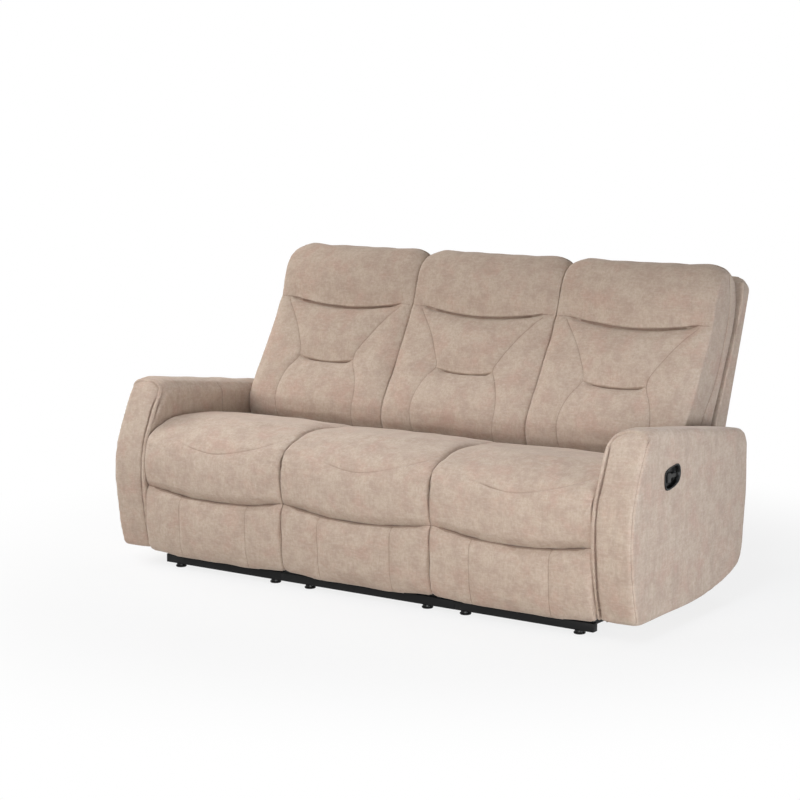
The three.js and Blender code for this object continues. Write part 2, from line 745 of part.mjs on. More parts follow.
function releaseLever() {
  const x0 = armOuter - cupDepth + cupWall + leverRest;
  const span = [x0, x0 + leverThickness];
  const top = leverGrip.clone().setY(leverGrip.y + gripHalf);
  const bottom = leverGrip.clone().setY(leverGrip.y - gripHalf);
  const stem = plate(bar(leverGrip, leverPivot, leverRadius + pinRadius / 2), span);
  const grip = plate(bar(bottom, top, gripRadius), span);
  return cut(joined(stem, grip), rod(pinRadius, [span[0] - overrun, span[1] + overrun], leverPivot));
}

// Base: a welded steel frame for each seat on four feet, with towers that carry the seat frame
const footHeight = 12;
const footRadius = 18.5;
const footTopRadius = 15;
const railHeight = 28;
const railDepth = 25;
const frontRailY = 93;
const rearRailPast = 98; // rear rail behind the rear of a seat cushion
const rearRailY = seatFront + seatDepth + rearRailPast;
const crossRailShares = [0.313, 0.548, 0.782]; // places of the cross rails, front rail to rear rail
const crossRailsY = crossRailShares.map((share) => THREE.MathUtils.lerp(frontRailY, rearRailY, share));
const crossRailDepth = 26;
const crossLift = 10; // cross rails above the underside of the frame
const outerFootSpread = 206.5;
const middleFootSpread = 234;
const railTab = 21; // front rail past an outer seat's inner side rail
const stubLength = 42; // and past its outer one
const railSplit = seatPitch - outerFootSpread - railDepth / 2 - railTab;
const railStub = seatPitch + outerFootSpread + railDepth / 2 + stubLength;
const towerThickness = 4;
const towerFront = 180;
const towerLength = 310;
const towerSpan = [towerFront, towerFront + towerLength];
const runnerHalf = 10;
const runnerThickness = 6;
const bracketInset = 3;
const bracketReach = 24; // under the arm frame, kept out of sight
const baseTop = footHeight + railHeight;
const towerTop = railBottom - seated;

function baseFrame(footSpread, frontReach, armSide) {
  const crossZ = [footHeight + crossLift, baseTop];
  const railZ = [footHeight, baseTop];
  const across = (y, depth) => [y - depth / 2, y + depth / 2];
  const crossHalf = railOuter;
  const longRail = [frontRailY - railDepth / 2, rearRailY + railDepth / 2];
  const pieces = [
    block(frontReach, across(frontRailY, railDepth), railZ),
    block([-footSpread - railDepth / 2, footSpread + railDepth / 2], across(rearRailY, railDepth), railZ),
  ];
  for (const side of [-1, 1]) {
    const rail = [side * footSpread - railDepth / 2, side * footSpread + railDepth / 2];
    const towerX = (side * (railInner + railOuter)) / 2;
    const tower = [towerX - towerThickness / 2, towerX + towerThickness / 2];
    pieces.push(block(rail, longRail, railZ));
    pieces.push(block(tower, towerSpan, [crossZ[0], towerTop - runnerThickness / 2]));
    const runner = [towerX - runnerHalf, towerX + runnerHalf];
    pieces.push(block(runner, towerSpan, [towerTop - runnerThickness, towerTop]));
  }
  for (const y of crossRailsY) {
    pieces.push(block([-crossHalf, crossHalf], across(y, crossRailDepth), crossZ));
  }
  if (armSide) {
    const seatX = armSide * seatPitch;
    const inner = armInner + armPadInner + bracketInset;
    const outer = inner + bracketReach;
    const reach = [armSide * inner - seatX, armSide * outer - seatX].sort((a, b) => a - b);
    const arm = [armSide * (crossHalf - overrun), armSide * outer - seatX].sort((a, b) => a - b);
    for (const y of [crossRailsY[0], crossRailsY.at(-1)]) {
      pieces.push(block(arm, across(y, crossRailDepth), crossZ));
      pieces.push(block(reach, across(y, crossRailDepth), [crossZ[0], armFrameFoot - seated]));
    }
  }
  return joined(...pieces);
}

function foot() {
  const height = footHeight - seated;
  const profile = [
    new THREE.Vector2(0, 0),
    new THREE.Vector2(footRadius, 0),
    new THREE.Vector2(footRadius, height / 2),
    new THREE.Vector2(footTopRadius, height),
    new THREE.Vector2(0, height),
  ];
  return new THREE.LatheGeometry(profile, 12).rotateX(Math.PI / 2);
}

// Each seat stands on its base, with its back unit turned to its slope
const places = { left: -1, middle: 0, right: 1 };

for (const [place, side] of Object.entries(places)) {
  const seat = new THREE.Group();
  seat.position.x = side * seatPitch;
  sofa.add(seat);
  const back = new THREE.Group();
  back.position.set(0, backFoot.x, backFoot.y);
  back.rotation.x = -backSlope;
  seat.add(back);

  const footSpread = side ? outerFootSpread : middleFootSpread;
  const towardsMiddle = seatPitch - railSplit;
  const outwards = railStub - seatPitch;
  const reach = side
    ? [side * outwards, -side * towardsMiddle].sort((a, b) => a - b)
    : [-railSplit + seated, railSplit - seated];
  add(seat, `${place}_base_frame`, baseFrame(footSpread, reach, side), steel());
  for (const [depthName, y] of [["front", frontRailY], ["rear", rearRailY]]) {
    for (const [sideName, x] of [["left", -footSpread], ["right", footSpread]]) {
      add(seat, `${place}_foot_${depthName}_${sideName}`, foot().translate(x, y, 0), plastic());
    }
  }

  add(seat, `${place}_seat_frame`, seatFrame(side !== 0), timber());
  add(seat, `${place}_seat_webbing`, seatWebbing(), webbing());
  add(seat, `${place}_seat_cushion`, seatCushion(), fabric());
  add(back, `${place}_back_frame`, backFrame(), steel());
  add(back, `${place}_back_cushion`, backCushion(), fabric());
  add(back, `${place}_back_shell`, backShell(), fabric());

  if (side === 0) {
    add(seat, "middle_front_board", fixedFrontBoard(), timber());
    add(seat, "middle_front_pad", footrestPad(), fabric());
    continue;
  }
  add(seat, `${place}_footrest_board`, footrestBoard(), timber());
  add(seat, `${place}_footrest_pad`, footrestPad(), fabric());
  add(seat, `${place}_drive_link_frame`, driveFrame(), steel());
  add(seat, `${place}_carrier_frame`, carrierFrame(), steel());
  for (const [sideName, linkSide] of [["left", -1], ["right", 1]]) {
    add(seat, `${place}_control_link_${sideName}`, controlLink(linkSide), steel());
    add(seat, `${place}_panel_link_${sideName}`, panelLink(linkSide), steel());
  }
}

// The arms and handles are drawn on the right and mirrored for the left
const handed = { left: mirrored, right: (geometry) => geometry };

for (const [place, turned] of Object.entries(handed)) {
  add(sofa, `${place}_arm_frame`, turned(armFrame()), timber());
  add(sofa, `${place}_arm_upholstery`, turned(armUpholstery()), fabric());
  add(sofa, `${place}_handle_bezel`, turned(handleBezel()), plastic());
  add(sofa, `${place}_release_lever`, turned(releaseLever()), plastic());
}

// The sofa stands with the centre of its depth over the origin
sofa.updateMatrixWorld(true);
const bounds = new THREE.Box3().setFromObject(sofa, true);
sofa.position.y = -(bounds.min.y + bounds.max.y) / 2;

export default sofa;
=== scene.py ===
import json
import math

import bmesh
import bpy
import numpy as np
from mathutils import Matrix, Vector
from mathutils.bvhtree import BVHTree
from mathutils.kdtree import KDTree

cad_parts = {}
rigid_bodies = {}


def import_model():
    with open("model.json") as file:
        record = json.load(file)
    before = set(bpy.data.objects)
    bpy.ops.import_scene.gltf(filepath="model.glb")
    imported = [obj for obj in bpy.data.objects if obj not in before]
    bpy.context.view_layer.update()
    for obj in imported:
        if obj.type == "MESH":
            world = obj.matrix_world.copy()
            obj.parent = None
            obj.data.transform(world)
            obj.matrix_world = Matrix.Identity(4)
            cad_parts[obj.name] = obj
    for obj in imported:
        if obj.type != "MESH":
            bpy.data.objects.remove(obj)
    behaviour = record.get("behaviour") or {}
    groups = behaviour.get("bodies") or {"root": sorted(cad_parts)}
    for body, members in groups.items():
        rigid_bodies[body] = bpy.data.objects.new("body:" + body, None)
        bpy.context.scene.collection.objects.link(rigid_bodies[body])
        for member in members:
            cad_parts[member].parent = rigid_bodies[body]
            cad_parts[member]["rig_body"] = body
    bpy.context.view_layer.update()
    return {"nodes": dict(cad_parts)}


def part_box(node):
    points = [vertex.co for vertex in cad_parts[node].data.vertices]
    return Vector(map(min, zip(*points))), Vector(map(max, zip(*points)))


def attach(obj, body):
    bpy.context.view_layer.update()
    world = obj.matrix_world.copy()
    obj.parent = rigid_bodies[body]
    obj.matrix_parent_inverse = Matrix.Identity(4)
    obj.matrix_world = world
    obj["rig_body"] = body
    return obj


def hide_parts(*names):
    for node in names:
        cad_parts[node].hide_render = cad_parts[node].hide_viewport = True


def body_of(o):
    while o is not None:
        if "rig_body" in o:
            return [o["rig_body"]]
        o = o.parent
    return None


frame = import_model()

# Camera
# It stands to the right of the sofa's front, a little above the seats, with a long lens that keeps
# the three backs nearly parallel.
scene = bpy.context.scene
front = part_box("right_arm_upholstery")[0].y
lens_data = bpy.data.cameras.new("camera")
lens_data.lens = 95.97
lens_data.sensor_width = 36
camera = bpy.data.objects.new("camera", lens_data)
scene.collection.objects.link(camera)
looked_at = Vector((-0.0857, front + 0.4023, 0.604))
azimuth = math.radians(34.546)
elevation = math.radians(8.65)
viewed_from = Vector((
    math.sin(azimuth) * math.cos(elevation),
    -math.cos(azimuth) * math.cos(elevation),
    math.sin(elevation),
))
camera.location = looked_at + viewed_from * 7.149
camera.rotation_euler = viewed_from.to_track_quat("Z", "Y").to_euler()
scene.camera = camera
scene.view_settings.view_transform = "Standard"

# Floor and lamps
# A pale floor runs out into white. Two large soft lamps stand high in front on the left and at the
# left, a weak one hangs behind, and two low ones light the right arm and the fronts from the right. A
# lamp with a grid is aimed down at the seats.


def put(tree, kind, sockets=None, **settings):
    """Adds a node, with its settings, and its sockets set to a value or joined to another's output."""
    made = tree.nodes.new(kind)
    for name, value in settings.items():
        setattr(made, name, value)
    for socket, value in (sockets or {}).items():
        if isinstance(value, bpy.types.NodeSocket):
            tree.links.new(value, made.inputs[socket])
        else:
            made.inputs[socket].default_value = value
    return made


def sum_of(tree, operation, first, second, third=0.0):
    """The result of a sum on two or three values."""
    return put(tree, "ShaderNodeMath", {0: first, 1: second, 2: third}, operation=operation).outputs[0]


cool = (0.93, 1.0, 1.09)


def lamp(name, size, watts, place, aimed_at, tint=(1, 1, 1), cone=180):
    data = bpy.data.lights.new(name, "AREA")
    data.shape = "RECTANGLE"
    data.color = tint
    data.spread = math.radians(cone)
    data.size, data.size_y = size
    data.energy = watts
    lit = bpy.data.objects.new(name, data)
    lit.location = place
    lit.rotation_euler = (Vector(place) - Vector(aimed_at)).to_track_quat("Z", "Y").to_euler()
    scene.collection.objects.link(lit)


lamp("front_lamp", (2.4, 2.0), 63, (-2.4, -3.7, 2.7), (0, 0, 0.4))
lamp("left_lamp", (2.0, 2.0), 82, (-3.4, -0.6, 2.4), (-0.4, 0, 0.4))
lamp("overhead_lamp", (3.4, 1.4), 20, (0.2, 0.9, 2.9), (0.1, -0.3, 0.4))
lamp("right_lamp", (1.2, 0.9), 46, (3.5, -0.7, 0.5), (1.0, 0, 0.35), cool)
lamp("low_lamp", (2.0, 0.7), 28, (1.5, -2.6, 0.5), (0.5, 0, 0.3))
lamp("seat_lamp", (2.6, 0.5), 3, (0.3, -2.0, 2.6), (0.1, -0.15, 0.4), cool, 30)

world = bpy.data.worlds.new("studio")
world.use_nodes = True
scene.world = world
sky = world.node_tree
seen = put(sky, "ShaderNodeLightPath")
mirrored_ray = sum_of(sky, "MAXIMUM", seen.outputs["Is Glossy Ray"], seen.outputs["Is Transmission Ray"])
direct_ray = sum_of(sky, "MAXIMUM", seen.outputs["Is Camera Ray"], mirrored_ray)
ambient = 0.06
brightness = sum_of(sky, "MULTIPLY_ADD", direct_ray, 1 - ambient, ambient)
sky.links.new(brightness, sky.nodes["Background"].inputs["Strength"])
sky.nodes["Background"].inputs["Color"].default_value = (1, 1, 1, 1)


def piece_from(form, name):
    """A piece with a form's shape, put in the scene."""
    mesh = bpy.data.meshes.new(name)
    form.to_mesh(mesh)
    form.free()
    piece = bpy.data.objects.new(name, mesh)
    scene.collection.objects.link(piece)
    return piece


floor_form = bmesh.new()
bmesh.ops.create_circle(floor_form, cap_ends=True, segments=96, radius=40)
floor = piece_from(floor_form, "floor")

floor_paint = bpy.data.materials.new("floor_paint")
floor_paint.use_nodes = True
paint = floor_paint.node_tree
paint.nodes.remove(paint.nodes["Principled BSDF"])
path = put(paint, "ShaderNodeLightPath")
mirrored_ray = sum_of(paint, "MAXIMUM", path.outputs["Is Glossy Ray"], path.outputs["Is Transmission Ray"])
direct_ray = sum_of(paint, "MAXIMUM", path.outputs["Is Camera Ray"], mirrored_ray)
where = put(paint, "ShaderNodeTexCoord").outputs["Object"]
away = put(paint, "ShaderNodeVectorMath", {0: where}, operation="LENGTH").outputs["Value"]
near_lift = 0.82
lift = put(
    paint, "ShaderNodeMapRange",
    {"Value": away, "From Min": 1.1, "From Max": 2.2, "To Min": near_lift, "To Max": 1.0},
    interpolation_type="SMOOTHSTEP",
).outputs["Result"]
matt = put(paint, "ShaderNodeBsdfDiffuse", {"Color": (0.82, 0.82, 0.82, 1)}).outputs[0]
white = put(paint, "ShaderNodeEmission", {"Color": (1, 1, 1, 1), "Strength": 1.0}).outputs[0]
share = sum_of(paint, "MULTIPLY", direct_ray, lift)
blend = put(paint, "ShaderNodeMixShader", {0: share, 1: matt, 2: white}).outputs[0]
paint.links.new(blend, paint.nodes["Material Output"].inputs["Surface"])
floor.data.materials.append(floor_paint)

# Steel bases and their feet
# Under each seat stands a frame of square steel tube, welded and powder coated black, with two
# uprights that carry the seat. It stands on four moulded feet, pressed into the tube.


def colour(red, green, blue):
    """A colour read off a chart, from 0 to 255, as a shader takes it."""
    return (*(((c / 255 + 0.055) / 1.055) ** 2.4 for c in (red, green, blue)), 1.0)


def new_finish(name, base, roughness, metallic=0.0):
    """A material with its shader's plain values set, for nodes to be added to."""
    finish = bpy.data.materials.new(name)
    finish.use_nodes = True
    shader = finish.node_tree.nodes["Principled BSDF"]
    shader.inputs["Base Color"].default_value = base
    shader.inputs["Roughness"].default_value = roughness
    shader.inputs["Metallic"].default_value = metallic
    return finish, finish.node_tree, shader


def grain(tree, vector, scale, detail=3.0, roughness=0.55):
    """A noise over the piece, from 0 to 1."""
    sockets = {"Vector": vector, "Scale": scale, "Detail": detail, "Roughness": roughness}
    return put(tree, "ShaderNodeTexNoise", sockets).outputs["Fac"]


def spread(tree, value, low, high, start, end):
    """A value between low and high, taken smoothly to start and end."""
    sockets = {"Value": value, "From Min": low, "From Max": high, "To Min": start, "To Max": end}
    return put(tree, "ShaderNodeMapRange", sockets, interpolation_type="SMOOTHSTEP").outputs["Result"]


def mixed(tree, share, first, second):
    """A colour that goes from the first to the second."""
    sockets = {0: share, 6: first, 7: second}
    return put(tree, "ShaderNodeMix", sockets, data_type="RGBA").outputs[2]


def embossed(tree, shader, height, depth, strength=1.0, under=None):
    """Raises the surface by a height from 0 to 1, depth metres deep."""
    sockets = {"Height": height, "Distance": depth, "Strength": strength}
    if under is not None:
        sockets["Normal"] = under
    bump = put(tree, "ShaderNodeBump", sockets).outputs["Normal"]
    tree.links.new(bump, shader.inputs["Normal"])
    return bump


def powder_coat():
    finish, tree, shader = new_finish("powder_coat", colour(7, 7, 8), 0.5)
    shader.inputs["Specular IOR Level"].default_value = 0.22
    where = put(tree, "ShaderNodeTexCoord").outputs["Object"]
    pebble = grain(tree, where, 900, 2)
    rubbed = grain(tree, where, 14, 4)
    dust = spread(tree, rubbed, 0.5, 0.75, 0, 0.35)
    tree.links.new(mixed(tree, dust, colour(7, 7, 8), colour(19, 18, 18)), shader.inputs["Base Color"])
    tree.links.new(spread(tree, rubbed, 0.3, 0.7, 0.42, 0.6), shader.inputs["Roughness"])
    embossed(tree, shader, pebble, 0.00015, 0.5)
    return finish


def form_of(piece):
    form = bmesh.new()
    form.from_mesh(piece.data)
    return form


def keep_form(form, piece):
    form.to_mesh(piece.data)
    form.free()
    piece.data.update()


def copied(name, node):
    """A new piece with a CAD node's shape, its triangles joined at their corners."""
    form = form_of(frame["nodes"][node])
    bmesh.ops.remove_doubles(form, verts=form.verts, dist=0.00002)
    return piece_from(form, name)


def settle(piece):
    """Applies a piece's modifiers."""
    graph = bpy.context.evaluated_depsgraph_get()
    mesh = bpy.data.meshes.new_from_object(piece.evaluated_get(graph))
    piece.modifiers.clear()
    mesh.name = piece.name
    piece.data = mesh


def rounded(piece, angle=35):
    """Shades a piece smoothly, except over its sharp edges."""
    piece.data.polygons.foreach_set("use_smooth", [True] * len(piece.data.polygons))
    piece.data.set_sharp_from_angle(angle=math.radians(angle))


def take_place(piece, node, finish):
    """The piece stands for a CAD node: it takes its body and its finish."""
    piece.data.materials.clear()
    piece.data.materials.append(finish)
    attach(piece, body_of(frame["nodes"][node])[0])
    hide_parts(node)
    return piece


def edged(node, finish, width):
    """A rigid piece with the CAD node's shape and its sharp edges broken."""
    piece = copied(f"{node}_edged", node)
    form = form_of(piece)
    bmesh.ops.dissolve_limit(form, angle_limit=math.radians(1), verts=form.verts, edges=form.edges)
    keep_form(form, piece)
    bevel = piece.modifiers.new("edges", "BEVEL")
    bevel.width = width
    bevel.segments = 2
    bevel.limit_method = "ANGLE"
    bevel.angle_limit = math.radians(40)
    settle(piece)
    rounded(piece)
    return take_place(piece, node, finish)


def foot(node, finish):
    """A moulded foot: a stepped plug, spun from its side outline."""
    low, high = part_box(node)
    centre = (low + high) / 2
    radius = (high.x - low.x) / 2
    height = high.z - low.z
    lip = height / 8
    outline = [
        (0, 0), (radius - lip, 0), (radius, lip), (radius, 0.42 * height), (radius - lip, 0.5 * height),
        (0.86 * radius, 0.56 * height), (0.8 * radius, high.z), (0, high.z),
    ]
    form = bmesh.new()
    rim = [form.verts.new((centre.x + r, centre.y, z)) for r, z in outline]
    edges = [form.edges.new(pair) for pair in zip(rim, rim[1:])]
    bmesh.ops.spin(
        form, geom=rim + edges, cent=(centre.x, centre.y, 0), axis=(0, 0, 1),
        angle=2 * math.pi, steps=40, use_merge=True,
    )
    bmesh.ops.remove_doubles(form, verts=form.verts, dist=0.00001)
    bmesh.ops.recalc_face_normals(form, faces=form.faces)
    piece = piece_from(form, f"{node}_moulded")
    rounded(piece)
    return take_place(piece, node, finish)


def moulded_plastic():
    finish, tree, shader = new_finish("moulded_plastic", colour(7, 7, 7), 0.24)
    shader.inputs["Specular IOR Level"].default_value = 0.24
    where = put(tree, "ShaderNodeTexCoord").outputs["Object"]
    tree.links.new(spread(tree, grain(tree, where, 30), 0.3, 0.7, 0.22, 0.36), shader.inputs["Roughness"])
    embossed(tree, shader, grain(tree, where, 1400, 2), 0.0001, 0.4)
    return finish


places = {"left": -1, "middle": 0, "right": 1}
coat = powder_coat()
plastic = moulded_plastic()
for place in places:
    edged(f"{place}_base_frame", coat, 0.002)
    for end in ("front", "rear"):
        for side in ("left", "right"):
            foot(f"{place}_foot_{end}_{side}", plastic)

# Seat frames and webbing
# Each seat is a timber box of planed rails. Two sets of dark elastic straps, woven over and under,
# are stapled across it and carry the foam.


def planed_timber():
    finish, tree, shader = new_finish("planed_timber", colour(190, 152, 108), 0.62)
    where = put(tree, "ShaderNodeTexCoord").outputs["Object"]
    along = put(tree, "ShaderNodeMapping", {"Vector": where, "Scale": (1, 0.12, 1)}).outputs[0]
    warp = grain(tree, along, 9, 3)
    rings = sum_of(tree, "SINE", sum_of(tree, "MULTIPLY", warp, 70), 0)
    drawn_out = put(tree, "ShaderNodeMapping", {"Vector": where, "Scale": (1, 0.05, 1)}).outputs[0]
    fibre = grain(tree, drawn_out, 320, 2)
    wood = mixed(tree, spread(tree, rings, -1, 1, 0, 1), colour(201, 164, 119), colour(170, 128, 84))
    wood = mixed(tree, spread(tree, fibre, 0.35, 0.7, 0, 0.4), wood, colour(142, 103, 66))
    tree.links.new(wood, shader.inputs["Base Color"])
    embossed(tree, shader, fibre, 0.0002, 0.5)
    return finish


def elastic_webbing():
    finish, tree, shader = new_finish("elastic_webbing", colour(44, 39, 35), 0.85)
    where = put(tree, "ShaderNodeTexCoord").outputs["Object"]
    split = put(tree, "ShaderNodeSeparateXYZ", {0: where})
    threads = [
        sum_of(tree, "SINE", sum_of(tree, "MULTIPLY", split.outputs[axis], 2 * math.pi / 0.003), 0)
        for axis in ("X", "Y")
    ]
    weave = sum_of(tree, "MULTIPLY", *threads)
    stripe = sum_of(tree, "SINE", sum_of(tree, "MULTIPLY", split.outputs["X"], 2 * math.pi / 0.0166), 0)
    cloth = mixed(tree, spread(tree, weave, -1, 1, 0, 1), colour(33, 29, 26), colour(64, 57, 50))
    cloth = mixed(tree, spread(tree, stripe, 0.8, 0.95, 0, 0.5), cloth, colour(118, 104, 86))
    tree.links.new(cloth, shader.inputs["Base Color"])
    embossed(tree, shader, weave, 0.0004, 0.6)
    return finish


wood = planed_timber()
straps = elastic_webbing()
for place in places:
    edged(f"{place}_seat_frame", wood, 0.002)
    edged(f"{place}_seat_webbing", straps, 0.0008)

# Footrest linkages
# Each outer seat hangs its footrest on flat steel links, pressed and powder coated, with riveted
# pivots. Two sets of them are joined by cross tubes, so both ends of the footrest move together.
for place in ("left", "right"):
    for part in ("drive_link_frame", "carrier_frame"):
        edged(f"{place}_{part}", coat, 0.0007)
    for side in ("left", "right"):
        edged(f"{place}_control_link_{side}", coat, 0.0007)
        edged(f"{place}_panel_link_{side}", coat, 0.0007)

# Front panels
# Below each seat hangs a plywood board with a foam pad, covered in beige microfibre. The outer two
# swing out as footrests. Two upright seams divide each cover in three.
seat_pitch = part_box("right_seat_cushion")[0].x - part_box("middle_seat_cushion")[0].x
half_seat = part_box("middle_seat_cushion")[1].x


def microfibre(name, streaks=0.0):
    """Brushed microfibre: cloudy beige, with rosy and greyish patches, a short nap and a soft sheen.
    Its seams are where the piece's seam attribute, in millimetres, falls to nothing: a dark line there, and
    painted shade for a few millimetres beside it. Creases marked in the same attribute take that darkening
    as painted shade."""
    finish, tree, shader = new_finish(name, colour(190, 171, 154), 0.92)
    shader.inputs["Sheen Weight"].default_value = 0.4
    shader.inputs["Sheen Roughness"].default_value = 0.34
    shader.inputs["Sheen Tint"].default_value = colour(238, 228, 220)
    shader.inputs["Specular IOR Level"].default_value = 0.25
    where = put(tree, "ShaderNodeTexCoord").outputs["Object"]

    def moved(location, scale=(1, 1, 1)):
        sockets = {"Vector": where, "Location": location, "Scale": scale}
        return put(tree, "ShaderNodeMapping", sockets).outputs[0]

    cloud = grain(tree, moved((0.3, 0.1, 0)), 19, 4, 0.62)
    rosy = grain(tree, moved((3.1, 1.7, 0.4)), 11, 4, 0.66)
    fleck = grain(tree, moved((1.2, 4.4, 0.9)), 95, 4, 0.7)
    upright = grain(tree, moved((0, 0, 0), (1, 1, 0.2)), 210, 3, 0.65)
    level = grain(tree, moved((0, 0, 0), (0.2, 0.2, 1)), 210, 3, 0.65)
    nap = grain(tree, where, 900, 2, 0.6)

    cloth = mixed(tree, spread(tree, cloud, 0.34, 0.66, 0, 1), colour(179, 158, 142), colour(193, 175, 158))
    cloth = mixed(tree, spread(tree, rosy, 0.46, 0.7, 0, 0.62), cloth, colour(187, 155, 139))
    cloth = mixed(tree, spread(tree, fleck, 0.36, 0.58, 0.3, 0), cloth, colour(164, 143, 126))
    cloth = mixed(tree, spread(tree, fleck, 0.5, 0.72, 0, 0.26), cloth, colour(202, 185, 170))
    cloth = mixed(tree, spread(tree, upright, 0.44, 0.7, 0, 0.3), cloth, colour(160, 139, 123))
    cloth = mixed(tree, spread(tree, level, 0.44, 0.7, 0, 0.28), cloth, colour(204, 187, 172))
    if streaks:
        long_streak = grain(tree, moved((1, 2, 3), (1, 1, 0.14)), 60, 4, 0.65)
        cloth = mixed(tree, spread(tree, long_streak, 0.45, 0.72, 0, streaks), cloth, colour(160, 143, 127))
    cloth = mixed(tree, spread(tree, nap, 0.3, 0.75, 0, 0.14), cloth, colour(150, 128, 110))
    # Painted shade: the cloth darkens beside each seam, and creases marked in the seam attribute are
    # darkened the same way.
    seam = put(tree, "ShaderNodeAttribute", attribute_name="seam").outputs["Fac"]
    line = spread(tree, seam, 0.3, 1.7, 0.55, 0)
    painted_shade = spread(tree, seam, 1, 7, 0.07, 0)
    cloth = mixed(tree, painted_shade, cloth, colour(150, 124, 106))
    cloth = mixed(tree, line, cloth, colour(112, 88, 74))
    tree.links.new(cloth, shader.inputs["Base Color"])

    under = embossed(tree, shader, cloud, 0.0016, 0.25)
    embossed(tree, shader, nap, 0.0004, 0.45, under)
    return finish


def points_of(piece):
    flat = np.empty(len(piece.data.vertices) * 3, np.float32)
    piece.data.vertices.foreach_get("co", flat)
    return flat.reshape(-1, 3).astype(float)


def normals_of(piece):
    flat = np.empty(len(piece.data.vertices) * 3, np.float32)
    piece.data.vertex_normals.foreach_get("vector", flat)
    return flat.reshape(-1, 3).astype(float)


def move_points(piece, points):
    piece.data.vertices.foreach_set("co", points.astype(np.float32).ravel())
    piece.data.update()


def fade(value, start, end):
    """From 0 at start to 1 at end, smoothly, for an array."""
    share = np.clip((value - start) / (end - start), 0, 1)
    return share * share * (3 - 2 * share)


def dent(distance, width):
    """1 on a line, falling off over a width."""
    return np.exp(-((distance / width) ** 2))


def neighbours_of(piece):
    """A function that gives each point of a mesh the mean of its neighbours' values."""
    mesh = piece.data
    pairs = np.empty(len(mesh.edges) * 2, np.int32)
    mesh.edges.foreach_get("vertices", pairs)
    near, far = pairs.reshape(-1, 2).T
    total = len(mesh.vertices)
    count = np.bincount(pairs, minlength=total)[:, None]

    def mean_of(values):
        sums = [
            np.bincount(near, values[far, axis], total) + np.bincount(far, values[near, axis], total)
            for axis in range(3)
        ]
        return np.stack(sums, axis=1) / count

    return mean_of


def relax(piece, passes, inward=0.5, outward=-0.53):
    """Smooths a cover by turns inwards and outwards, so that it eases without growing thin."""
    mean_of = neighbours_of(piece)
    points = points_of(piece)
    for _ in range(passes):
        for share in (inward, outward):
            points += share * (mean_of(points) - points)
    move_points(piece, points)


def even_mesh(piece, voxel):
    """Gives a piece an even mesh of small squares."""
    even = piece.modifiers.new("even", "REMESH")
    even.mode = "VOXEL"
    even.voxel_size = voxel
    settle(piece)


def padding(name, node, voxel=0.009, passes=16):
    """A soft copy of a CAD node: an even mesh with its corners eased."""
    piece = copied(name, node)
    even_mesh(piece, voxel)
    relax(piece, passes)
    return piece


def inflate(piece, held, pressure, cap, calm, steps=20):
    """Blows the cover up with its held points fast, as foam fills it, by no more than the cap. The
    buckles that the cloth throws are then calmed, as well-filled foam keeps them out."""
    start = points_of(piece)
    group = piece.vertex_groups.new(name="held")
    group.add(np.flatnonzero(held).tolist(), 1.0, "REPLACE")
    cloth = piece.modifiers.new("cover", "CLOTH")
    cloth.point_cache.frame_start = 1
    cloth.point_cache.frame_end = steps
    cover = cloth.settings
    cover.quality = 5
    cover.use_pressure = True
    cover.uniform_pressure_force = pressure
    cover.effector_weights.gravity = 0
    cover.vertex_group_mass = "held"
    cover.tension_stiffness = 30
    cover.compression_stiffness = 30
    cover.bending_stiffness = 2
    cover.shrink_min = -0.012
    for step in range(1, steps + 1):
        scene.frame_set(step)
    settle(piece)
    scene.frame_set(1)
    moved = points_of(piece) - start
    mean_of = neighbours_of(piece)
    for _ in range(calm):
        moved += 0.5 * (mean_of(moved) - moved)
    length = np.linalg.norm(moved, axis=1)
    moved *= np.minimum(1, cap / np.maximum(length, 1e-9))[:, None]
    move_points(piece, start + moved)
    piece.vertex_groups.clear()


def curve_through(points, step=0.002):
    """A smooth curve through points in the plane or in space, at even steps."""
    given = np.array(points, float)
    ends = np.vstack([2 * given[0] - given[1], given, 2 * given[-1] - given[-2]])
    drawn = []
    for a, b, c, d in zip(ends, ends[1:], ends[2:], ends[3:]):
        count = max(2, math.ceil(np.linalg.norm(c - b) / step))
        t = np.linspace(0, 1, count, endpoint=False)[:, None]
        turning = (2 * a - 5 * b + 4 * c - d) * t**2
        drawn.append(0.5 * (2 * b + (c - a) * t + turning + (3 * b - a - 3 * c + d) * t**3))
    line = np.vstack([*drawn, given[-1:]])
    run = np.concatenate([[0], np.cumsum(np.linalg.norm(np.diff(line, axis=0), axis=1))])
    at = np.linspace(0, run[-1], max(2, round(run[-1] / step)))
    return np.stack([np.interp(at, run, line[:, axis]) for axis in range(line.shape[1])], axis=1)


def surface_of(piece):
    """A piece's faces, to be met by rays or asked for their nearest point."""
    mesh = piece.data
    return BVHTree.FromPolygons([v.co for v in mesh.vertices], [tuple(p.vertices) for p in mesh.polygons])


def laid(piece, line, direction):
    """A line moved along a direction onto a piece, as points and the surface's normals there."""
    surface = surface_of(piece)
    aim = Vector(direction).normalized()
    found = [surface.ray_cast(Vector(point) - aim * 0.4, aim) for point in line]
    return [(hit[0], hit[1]) for hit in found if hit[0] is not None]


def distance_to(points, lines, reach=0.06):
    """Each point's distance from the nearest of some lines on a surface."""
    spots = [spot for line in lines for spot, _ in line]
    tree = KDTree(len(spots))
    for number, spot in enumerate(spots):
        tree.insert(spot, number)
    tree.balance()
    low = np.min([tuple(s) for s in spots], axis=0) - reach
    high = np.max([tuple(s) for s in spots], axis=0) + reach
    near = np.all((points > low) & (points < high), axis=1)
    result = np.full(len(points), reach)
    for number in np.flatnonzero(near):
        result[number] = min(reach, tree.find(points[number])[2])
    return result


def refine(piece, near):
    """Splits the faces round chosen points, so that a seam has points of its own."""
    form = form_of(piece)
    edges = [e for e in form.edges if near[e.verts[0].index] or near[e.verts[1].index]]
    bmesh.ops.subdivide_edges(form, edges=edges, cuts=1, use_grid_fill=True)
    keep_form(form, piece)


